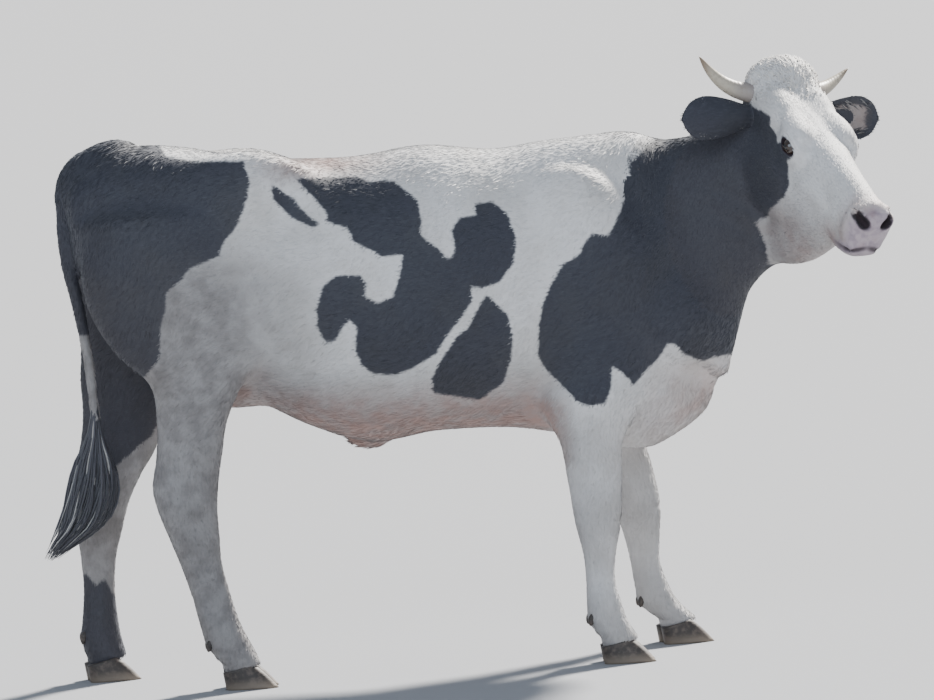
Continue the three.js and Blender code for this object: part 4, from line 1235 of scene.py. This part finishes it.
def dewclaw_shape(name, side, steps=20, bands=12):
    """A blunt claw that hangs behind the pastern, narrower towards its tip."""
    row = row_at(LEG_ROWS[name], [DEWCLAW_HEIGHT])[0]
    at = np.array([row[1] - row[4] + DEWCLAW_SUNK, row[2] + side * DEWCLAW_SPREAD, DEWCLAW_HEIGHT])
    angle = 2 * math.pi * np.arange(steps) / steps
    rings = []
    for tilt in np.linspace(-1.5, 1.5, bands + 1):
        flat = math.cos(tilt)
        high = math.sin(tilt)
        blunt = (0.85 + 0.15 * high) * flat ** (0.9 if high < 0 else 1.2)
        middle = at + np.array([4 - 3 * (1 - high), 0, 0])
        ring = np.stack([blunt * np.cos(angle), blunt * np.sin(angle), np.full(steps, high)], 1)
        rings.append(middle + ring * DEWCLAW_HALVES)
    return rings_mesh(rings)


claws = {}
for name in FEET:
    for side in (-1, 1):
        which = "outer" if side * FEET[name][0][1] > 0 else "inner"
        claws[f"claw_{name}_{which}"] = mesh_of(f"horn_claw_{name}_{which}", *claw_shape(name, side))
        claws[f"dewclaw_{name}_{which}"] = mesh_of(f"horn_dewclaw_{name}_{which}",
                                                   *dewclaw_shape(name, side))

# ------------------------------------------------------------------ horns and eyes

HORN_RADIUS = 25
HORN_FROM, HORN_REACH = 58, 157  # to the side from the middle of the head
HORN_LIFT = {"right": 58, "left": 24}


def horn_shape(name, side, steps=32, bands=44):
    """A short horn that runs out to the side, back and up to a blunt point."""
    t = np.linspace(0, 1, 5)
    places = [spot(HEAD, -8 - 74 * a, side * (HORN_FROM + HORN_REACH * a**0.9),
                   -28 - 12 * math.sin(math.pi * a) + HORN_LIFT[name] * a * a) for a in t]
    path, along = smooth_path(places, bands + 1)
    across = unit(np.cross(along, HEAD[1][0]))
    other = np.cross(along, across)
    angle = 2 * math.pi * np.arange(steps) / steps
    share = np.linspace(0, 1, bands + 1)
    radius = HORN_RADIUS * (1 - share) ** 0.75 + 2 * (1 - share**6)
    radius *= 1 + 0.02 * np.sin(share * 60) * held(1 - share * 1.8)
    rings = [p + r * (np.cos(angle)[:, None] * a + np.sin(angle)[:, None] * b)
             for p, r, a, b in zip(path, radius, across, other)]
    return rings_mesh(rings)


horns = {name: mesh_of(f"keratin_horn_{name}", *horn_shape(name, side)) for name, side in EARS}
for name, side in EARS:
    corners, _ = horn_shape(name, side)
    paint_value(horns[name], "share", (np.abs(local(HEAD, corners)[:, 1]) - HORN_FROM) / HORN_REACH)


def eye_shape(side, steps=40, bands=30):
    """An eyeball with a slightly raised clear front, about its line of sight."""
    flip = np.array([1, side, 1])
    sight, slit, lid = GAZE * flip, SLIT * flip, LID * flip
    middle = np.array(EYE_AT) * flip
    angle = 2 * math.pi * np.arange(steps) / steps
    rings = []
    for tilt in np.linspace(0.02, math.pi - 0.02, bands + 1):
        radius = EYE_RADIUS + 1.6 * math.exp(-((tilt / 0.55) ** 2))
        ring = (middle + math.cos(tilt) * radius * sight
                + math.sin(tilt) * radius * (np.cos(angle)[:, None] * slit
                                             + side * np.sin(angle)[:, None] * lid))
        rings.append(HEAD[0] + ring @ HEAD[1])
    return rings_mesh(rings)


eyes = {}
for name, side in EARS:
    corners, faces = eye_shape(side)
    eyes[name] = mesh_of(f"eyeball_{name}", corners, faces)
    across, high, out = eye_place(mirrored(corners)[1])
    front = np.where(out > 0, 0, 100)
    paint_value(eyes[name], "sight", np.hypot(across, high) + front)
    paint_value(eyes[name], "pupil", np.hypot(across / 8.5, high / 4.2) + front)

# ------------------------------------------------------------------ tail hair

# Rows of height, middle forward, middle to the left and two half sizes.
SWITCH_ROWS = [[312, -874, -44, 7, 6], [345, -842, -40, 30, 18], [390, -792, -34, 58, 30],
               [440, -766, -30, 68, 36], [500, -752, -26, 64, 38], [560, -747, -24, 48, 32],
               [610, -741, -23, 28, 22], [665, -739, -23, 18, 18]]


def strand(path, radius, steps=5):
    """A tapering lock of hair along a path."""
    along = unit(np.gradient(path, axis=0))
    across = unit(np.cross(along, [0.3, 0.9, 0.2]))
    other = np.cross(along, across)
    angle = 2 * math.pi * np.arange(steps) / steps
    return rings_mesh([p + r * (np.cos(angle)[:, None] * a + 0.6 * np.sin(angle)[:, None] * b)
                       for p, r, a, b in zip(path, radius, across, other)])


def switch_locks(count):
    """Locks that hang from the end of the tail and fill the shape of its switch."""
    locks = []
    for _ in range(count):
        turn, inner = dice.uniform(0, 2 * math.pi), math.sqrt(dice.uniform(0.02, 0.86))
        top = dice.uniform(590, 690)
        end = max(318.0, 318 + abs(dice.normal(0, 75)))
        end = min(end, top - 150)
        z = np.linspace(top, end, 11)
        row = row_at(SWITCH_ROWS, z)
        share = np.linspace(0, 1, len(z))
        spread = inner * held(0.35 + share * 1.5)
        wave = 6 * np.sin(share * dice.uniform(5, 9) + dice.uniform(0, 6)) * share
        path = np.stack([row[:, 1] + spread * row[:, 3] * math.cos(turn) + wave,
                         row[:, 2] + spread * row[:, 4] * math.sin(turn) + 0.5 * wave[::-1], z], 1)
        radius = dice.uniform(2.0, 4.0) * (1 - share**2.2) ** 0.8 + 0.2
        locks.append(strand(path, radius, 4))
    return locks


def lock_piece(name, locks, blacks, root_places, facing=None):
    """One piece of long locks, each with its blackness, its own shade and its
    root's place on the sheet."""
    piece = mesh_of(name, *joined(locks))
    sizes = [len(corners) for corners, _ in locks]
    if facing is not None:
        piece.data.normals_split_custom_set_from_vertices(np.repeat(facing, sizes, axis=0))
    paint_value(piece, "black", np.repeat(blacks, sizes))
    paint_value(piece, "shade", np.repeat(dice.uniform(0, 1, len(locks)), sizes))
    patches = [(corners - corners.min(0)) / np.ptp(corners, axis=0) for corners, _ in locks]
    places = np.repeat(root_places, sizes, axis=0) + PATCH * (np.concatenate(patches)[:, 1:] - 0.5)
    paint_sheet(piece, "OFBake", places[joined(locks)[1].ravel()])
    return piece


def on_chart(name, places):
    """The sheet's places for roots that all lie on one chart."""
    return sheet_place(np.array(places), np.full(len(places), CHART_NAMES.index(name)))[0]


tail_locks = switch_locks(560)
tail_blacks = [20.0 if dice.uniform() < 0.9 else -6.0 for _ in tail_locks]
tail_roots = on_chart("tail", [corners[0] for corners, _ in tail_locks])
tail_hair = lock_piece("tail_hair", tail_locks, tail_blacks, tail_roots)


def curl_lock(root, out, lie, size):
    """A short curl that stands up and turns over once."""
    t = np.linspace(0, 1, 9)[:, None]
    turn = dice.uniform(0, 2 * math.pi)
    across = np.cross(out, lie)
    coil = np.sin(t * 6.5 + turn) * across + np.cos(t * 6.5 + turn) * lie
    path = root - 2 * out + size * (0.3 * np.sin(t * 2.4) * out + 0.6 * t * lie + 0.22 * t**0.5 * coil)
    return strand(path, 1.4 * (1 - t[:, 0]**2.5) ** 0.8 + 0.2, 4)


poll_head = local(HEAD, roots)
chance = bump(poll_head[:, 0], -42, 62) * bump(poll_head[:, 1], 0, 74) * (poll_head[:, 2] > -66)
chance *= (roots[:, 2] > 1250) & (root_black < -6)
curled = dice.choice(len(roots), 620, replace=False, p=chance / chance.sum())
curls = [curl_lock(roots[n], root_out[n], lie_way[n], dice.uniform(10, 16)) for n in curled]


def soft_lock(root, out, lie, size):
    """A soft hair lock that leaves the skin and bends along the lie."""
    t = np.linspace(0, 1, 6)[:, None]
    path = root - 1.5 * out + size * (t * lie + 0.22 * np.sin(t * 1.9) * out)
    return strand(path, 0.9 * (1 - t[:, 0]**2) ** 0.9 + 0.12, 3)


fringe, fringe_black, fringe_places = [], [], []
for name, side in EARS:
    root, reach, along, opens, across = ear_frame(name, side)
    for n in range(130):
        share = dice.uniform(0.16, 0.8)
        _, half, cup = row_at(EAR_ROWS, [share])[0]
        edge = dice.choice([-1.0, 1.0]) * dice.uniform(0.5, 0.86)
        at = root + share * reach * along + edge * half * across + cup * (edge * edge - 0.5) * opens
        way = unit(0.8 * along - 0.75 * np.sign(edge) * across * dice.uniform(0.2, 1.1) + 0.2 * opens)
        fringe.append(soft_lock(at, opens, way, dice.uniform(13, 25)))
        fringe_black.append(-2.0 if dice.uniform() < 0.35 else 14.0)
        fringe_places.append(on_chart(f"ear_{name}", [at])[0])
poll_facing = unit(root_out[curled] + 0.3 * dice.normal(0, 1, (len(curled), 3)))
poll_hair = lock_piece("poll_hair", curls, np.full(len(curls), -20.0), root_sheet[curled], poll_facing)
ear_hair = lock_piece("ear_hair", fringe, fringe_black, fringe_places)

# ------------------------------------------------------------------ materials

def colour(text):
    """Linear colour from a written sRGB one."""
    parts = [int(text[n:n + 2], 16) / 255 for n in (1, 3, 5)]
    return (*[p / 12.92 if p <= 0.04045 else ((p + 0.055) / 1.055) ** 2.4 for p in parts], 1.0)


def put(tree, kind, links, **settings):
    """A node with its settings and its inputs, which are sockets or plain values."""
    node = tree.nodes.new(f"ShaderNode{kind}")
    for key, value in settings.items():
        setattr(node, key, value)
    for key, value in links.items():
        if isinstance(value, bpy.types.NodeSocket):
            tree.links.new(value, node.inputs[key])
        else:
            node.inputs[key].default_value = value
    return next(output for output in node.outputs if output.enabled)


def mixed(tree, share, first, second):
    """Two colours, mixed by the share of the second."""
    return put(tree, "Mix", {0: share, 6: first, 7: second}, data_type="RGBA")


def ramp(tree, value, low, high, first=0.0, last=1.0):
    """A value brought smoothly from one range to another."""
    return put(tree, "MapRange", {0: value, 1: low, 2: high, 3: first, 4: last},
               interpolation_type="SMOOTHSTEP")


def sum_of(tree, a, b, scale=1.0):
    """a, with scale times b added."""
    return put(tree, "Math", {0: b, 1: scale, 2: a}, operation="MULTIPLY_ADD")


def times(tree, a, b):
    return put(tree, "Math", {0: a, 1: b}, operation="MULTIPLY")


def painted(tree, name):
    """The number that paint_value put on the mesh."""
    node = tree.nodes.new("ShaderNodeAttribute")
    node.attribute_name = name
    return node.outputs["Fac"]


def new_material(name, **shine):
    """A material with its node tree and its shader, whose plain sockets are set here."""
    material = bpy.data.materials.new(name)
    material.use_nodes = True
    shader = material.node_tree.nodes["Principled BSDF"]
    for key, value in shine.items():
        shader.inputs[key.replace("_", " ")].default_value = value
    return material, material.node_tree, shader


def grain(tree, place, size_mm, detail=2.0, stretch=(1, 1, 1)):
    """Noise, 0 to 1, whose spots are about size_mm across."""
    scaled = put(tree, "Mapping", {0: place, 3: tuple(1000 / size_mm / part for part in stretch)})
    return put(tree, "TexNoise", {"Vector": scaled, "Scale": 1.0, "Detail": detail, "Roughness": 0.55})


def raised(tree, shader, height, depth_mm, strength=1.0):
    """Bumps of this depth from a height, 0 to 1."""
    bumped = put(tree, "Bump", {"Height": height, "Distance": depth_mm * MM, "Strength": strength})
    tree.links.new(bumped, shader.inputs["Normal"])


def hide_material():
    """Short cow hair over skin: black or white, worn and stained, with pink
    skin where it thins and wet mauve skin on the muzzle. The stain and the pink also
    paint shade and a sheen in places, and the nostrils and the mouth get painted shade."""
    material, tree, shader = new_material("short_cow_hair_and_skin", Sheen_Weight=0.12,
                                          Sheen_Roughness=0.45, Specular_IOR_Level=0.35)
    shader.inputs["Sheen Tint"].default_value = colour("#cfd6e0")
    place = put(tree, "TexCoord", {}).node.outputs["Object"]
    lie = put(tree, "UVMap", {}, uv_map="Lie")
    hairs = grain(tree, lie, 1.9, 2.0, (9, 1, 1))
    locks = grain(tree, lie, 9.0, 2.0, (4, 1, 1))
    clouds = grain(tree, place, 130, 3.0)
    patchy = grain(tree, place, 38, 3.0)
    shade = painted(tree, "shade")
    # the border of a patch: hairs of one colour lie over the other
    border = painted(tree, "black")
    for noise, depth_mm in ((locks, 10.0), (hairs, 9.0)):
        evened = put(tree, "Math", {0: noise, 1: 0.5}, operation="SUBTRACT")
        border = sum_of(tree, border, evened, depth_mm)
    black_share = ramp(tree, border, -4.0, 4.0)
    white = mixed(tree, ramp(tree, clouds, 0.35, 0.7), colour("#dcdbdb"), colour("#cbc9c7"))
    white = mixed(tree, times(tree, ramp(tree, hairs, 0.35, 0.75), 0.3), white, colour("#bcb9b5"))
    white = mixed(tree, times(tree, shade, 0.1), white, colour("#b4aca0"))
    black = mixed(tree, ramp(tree, clouds, 0.4, 0.75), colour("#34363f"), colour("#37383e"))
    black = mixed(tree, times(tree, ramp(tree, hairs, 0.45, 0.8), 0.5), black, colour("#4b4e57"))
    black = mixed(tree, times(tree, shade, 0.18), black, colour("#414248"))
    # grey-brown earth stain, which also paints shade on the hindquarters, under the belly and on the
    # lower face, and a sheen on the loin
    earth_and_painted_light = times(tree, painted(tree, "soil"), ramp(tree, patchy, 0.3, 0.7, 0.8, 1.0))
    white = mixed(tree, times(tree, earth_and_painted_light, 0.85), white, colour("#625d5c"))
    black = mixed(tree, times(tree, earth_and_painted_light, 0.1), black, colour("#5a4c42"))
    # pink skin showing through, which also paints shade under the belly, throat and chin, and a sheen on
    # the loin
    pink_share = times(tree, painted(tree, "pink"), ramp(tree, patchy, 0.25, 0.7, 0.45, 1.0))
    white = mixed(tree, times(tree, pink_share, 0.85), white, colour("#a8877d"))
    coat_colour = mixed(tree, black_share, white, black)
    # muzzle: pink skin mottled with slate mauve, darker in its pores
    blotch = grain(tree, place, 17, 3.0)
    pores = put(tree, "TexVoronoi", {"Vector": place, "Scale": 300.0, "Randomness": 0.8})
    skin_colour = mixed(tree, ramp(tree, blotch, 0.35, 0.7), colour("#a99ca4"), colour("#91858f"))
    warmer = times(tree, ramp(tree, patchy, 0.5, 0.8), 0.5)
    skin_colour = mixed(tree, warmer, skin_colour, colour("#8a7072"))
    bare = painted(tree, "bare")
    whole = mixed(tree, bare, coat_colour, skin_colour)
    # painted shade in the nostrils, along the mouth and under the lower lip, and the dark edge of the
    # lids
    whole = mixed(tree, times(tree, painted(tree, "dark"), 0.95), whole, colour("#24181f"))
    tree.links.new(whole, shader.inputs["Base Color"])
    tree.links.new(sum_of(tree, ramp(tree, bare, 0.0, 1.0, 0.62, 0.4), painted(tree, "dark"), 0.4),
                   shader.inputs["Roughness"])
    fur = sum_of(tree, times(tree, hairs, 0.45), locks, 0.55)
    pebbles = times(tree, pores, 0.8)
    height = put(tree, "Mix", {0: bare, 2: fur, 3: pebbles}, data_type="FLOAT")
    raised(tree, shader, height, 0.8, 0.5)
    return material


def horn_material():
    """Cow horn: grey-mauve and ringed at its root, cream along it, browner at the tip."""
    material, tree, shader = new_material("cow_horn", Roughness=0.42, Specular_IOR_Level=0.5)
    share = painted(tree, "share")
    place = put(tree, "TexCoord", {}).node.outputs["Object"]
    streaks = grain(tree, place, 14, 4.0)
    tone = mixed(tree, ramp(tree, share, 0.02, 0.3), colour("#5f5862"), colour("#999089"))
    tone = mixed(tree, ramp(tree, share, 0.3, 0.6), tone, colour("#b6ad9c"))
    tone = mixed(tree, ramp(tree, share, 0.74, 0.98), tone, colour("#7c6a58"))
    tone = mixed(tree, times(tree, ramp(tree, streaks, 0.5, 0.75), 0.45), tone, colour("#857a6c"))
    tree.links.new(tone, shader.inputs["Base Color"])
    waves = put(tree, "Math", {0: times(tree, share, 110.0)}, operation="SINE")
    raised(tree, shader, sum_of(tree, streaks, waves, 0.25), 0.7, 0.6)
    return material


def hoof_material():
    """Slate-brown hoof horn with growth rings, dusty towards the ground."""
    material, tree, shader = new_material("hoof_horn", Roughness=0.58)
    place = put(tree, "TexCoord", {}).node.outputs["Object"]
    height = put(tree, "SeparateXYZ", {0: place}).node.outputs["Z"]
    flecks = grain(tree, place, 12, 3.0)
    rings = grain(tree, place, 5, 1.0, (12, 12, 1))
    tone = mixed(tree, ramp(tree, flecks, 0.4, 0.7), colour("#37322f"), colour("#564d47"))
    tone = mixed(tree, ramp(tree, height, 0.03, 0.0), tone, colour("#7b6f62"))
    tree.links.new(tone, shader.inputs["Base Color"])
    raised(tree, shader, sum_of(tree, times(tree, rings, 0.7), flecks, 0.3), 1.0, 0.7)
    return material


def eye_material():
    """A dark brown cow's eye, wet, with a long level pupil and a brown-grey white."""
    material, tree, shader = new_material("wet_cow_eye", Roughness=0.12, Coat_Weight=0.6,
                                          Coat_Roughness=0.03, Specular_IOR_Level=0.5)
    sight = painted(tree, "sight")
    tone = mixed(tree, ramp(tree, sight, 14.6, 13.0), colour("#3f322c"), colour("#1d120d"))
    tone = mixed(tree, ramp(tree, sight, 12.2, 9.5), tone, colour("#2a1a10"))
    tone = mixed(tree, ramp(tree, painted(tree, "pupil"), 1.1, 0.9), tone, colour("#08080b"))
    tree.links.new(tone, shader.inputs["Base Color"])
    return material


def long_hair_material():
    """Long tail and ear hair, black or silvery, streaked lock by lock."""
    material, tree, shader = new_material("long_cow_hair", Roughness=0.5, Sheen_Weight=0.2,
                                          Sheen_Roughness=0.4)
    place = put(tree, "TexCoord", {}).node.outputs["Object"]
    streaks = grain(tree, place, 5, 2.0, (1, 1, 8))
    shade = painted(tree, "shade")
    light = mixed(tree, shade, colour("#e2dfda"), colour("#cbc6c0"))
    dark = mixed(tree, shade, colour("#2b2c33"), colour("#47474e"))
    dark = mixed(tree, times(tree, ramp(tree, streaks, 0.5, 0.8), 0.4), dark, colour("#5c5a5f"))
    tone = mixed(tree, ramp(tree, painted(tree, "black"), -20.0, 10.0), light, dark)
    tree.links.new(tone, shader.inputs["Base Color"])
    raised(tree, shader, streaks, 0.6, 0.5)
    return material


def floor_material():
    """Pale matt studio floor."""
    material, _, shader = new_material("pale_floor", Roughness=0.9)
    shader.inputs["Base Color"].default_value = colour("#989a9e")
    return material


def wear(things, material):
    """The material on every face of the things."""
    for thing in things:
        thing.data.materials.clear()
        thing.data.materials.append(material)


# ------------------------------------------------------------------ the frame's pieces

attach(skin, "root")
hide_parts("trunk", "neck", "head", "tail", "ear_right", "ear_left", *FEET)
for piece in [*coat, poll_hair, ear_hair]:
    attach(piece, "root")
for name in ("right", "left"):
    for piece, node, slot in ((horns[name], f"horn_{name}", "horn"), (eyes[name], f"eye_{name}", "eye")):
        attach(piece, "root")
        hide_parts(node)
for node, piece in claws.items():
    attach(piece, "root")
    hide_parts(node)
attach(tail_hair, "root")
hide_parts("tail_switch")
wear([skin, *coat], hide_material())
wear(horns.values(), horn_material())
wear(claws.values(), hoof_material())
wear(eyes.values(), eye_material())
wear([tail_hair, poll_hair, ear_hair], long_hair_material())

# ------------------------------------------------------------------ floor, light, camera

FLOOR = 3000.0  # out to the horizon
floor_mesh = bpy.data.meshes.new("floor")
floor_mesh.from_pydata([(-FLOOR, -FLOOR, 0), (FLOOR, -FLOOR, 0), (FLOOR, FLOOR, 0), (-FLOOR, FLOOR, 0)],
                       [], [(0, 1, 2, 3)])
floor = bpy.data.objects.new("floor", floor_mesh)
bpy.context.scene.collection.objects.link(floor)
wear([floor], floor_material())


def lamp(name, kind, away, energy, tone):
    """A light that shines from the direction `away`."""
    light = bpy.data.lights.new(name, kind)
    light.energy, light.color = energy, tone
    thing = bpy.data.objects.new(name, light)
    thing.rotation_mode = "QUATERNION"
    thing.rotation_quaternion = Vector(away).to_track_quat("Z", "Y")
    bpy.context.scene.collection.objects.link(thing)
    return thing


key = lamp("key", "SUN", (0.72, 0.85, 0.98), 14.5, (1.0, 0.96, 0.9))  # low, behind and to the right
key.data.angle = math.radians(8)
fill = lamp("fill", "AREA", (-2.5, -9.0, 3.8), 450, (0.74, 0.86, 1.0))  # soft, from the camera's side
fill.data.shape, fill.data.size, fill.location = "DISK", 7.0, (-2.5, -9.0, 4.5)
world = bpy.data.worlds.new("studio")
bpy.context.scene.world = world
world.use_nodes = True
world.node_tree.nodes["Background"].inputs["Color"].default_value = (0.76, 0.84, 0.97, 1)
world.node_tree.nodes["Background"].inputs["Strength"].default_value = 0.54

# Camera: 14 m off, a little above the withers, turned 6 degrees from square on.
YAW, PITCH, ROLL, DISTANCE = math.radians(6), math.radians(4), math.radians(-3.114), 14000.0
LOOKS_AT = np.array([160.8, 0, 756.6])
IMAGE_WIDTH, SENSOR, MM_PER_PIXEL = 934, 36.0, 2.4
ahead = np.array([math.sin(YAW) * math.cos(PITCH), math.cos(YAW) * math.cos(PITCH), -math.sin(PITCH)])
level = np.array([math.cos(YAW), -math.sin(YAW), 0])
above = np.cross(level, ahead)
right = math.cos(ROLL) * level + math.sin(ROLL) * above
above = -math.sin(ROLL) * level + math.cos(ROLL) * above
camera_data = bpy.data.cameras.new("camera")
camera_data.lens = SENSOR / IMAGE_WIDTH * DISTANCE / MM_PER_PIXEL
camera_data.sensor_width = SENSOR
camera_data.clip_end = 9000
camera = bpy.data.objects.new("camera", camera_data)
place = (LOOKS_AT - ahead * DISTANCE - CENTRE) * MM
camera.matrix_world = Matrix(((right[0], above[0], -ahead[0], place[0]),
                              (right[1], above[1], -ahead[1], place[1]),
                              (right[2], above[2], -ahead[2], place[2]), (0, 0, 0, 1)))
bpy.context.scene.collection.objects.link(camera)
bpy.context.scene.camera = camera
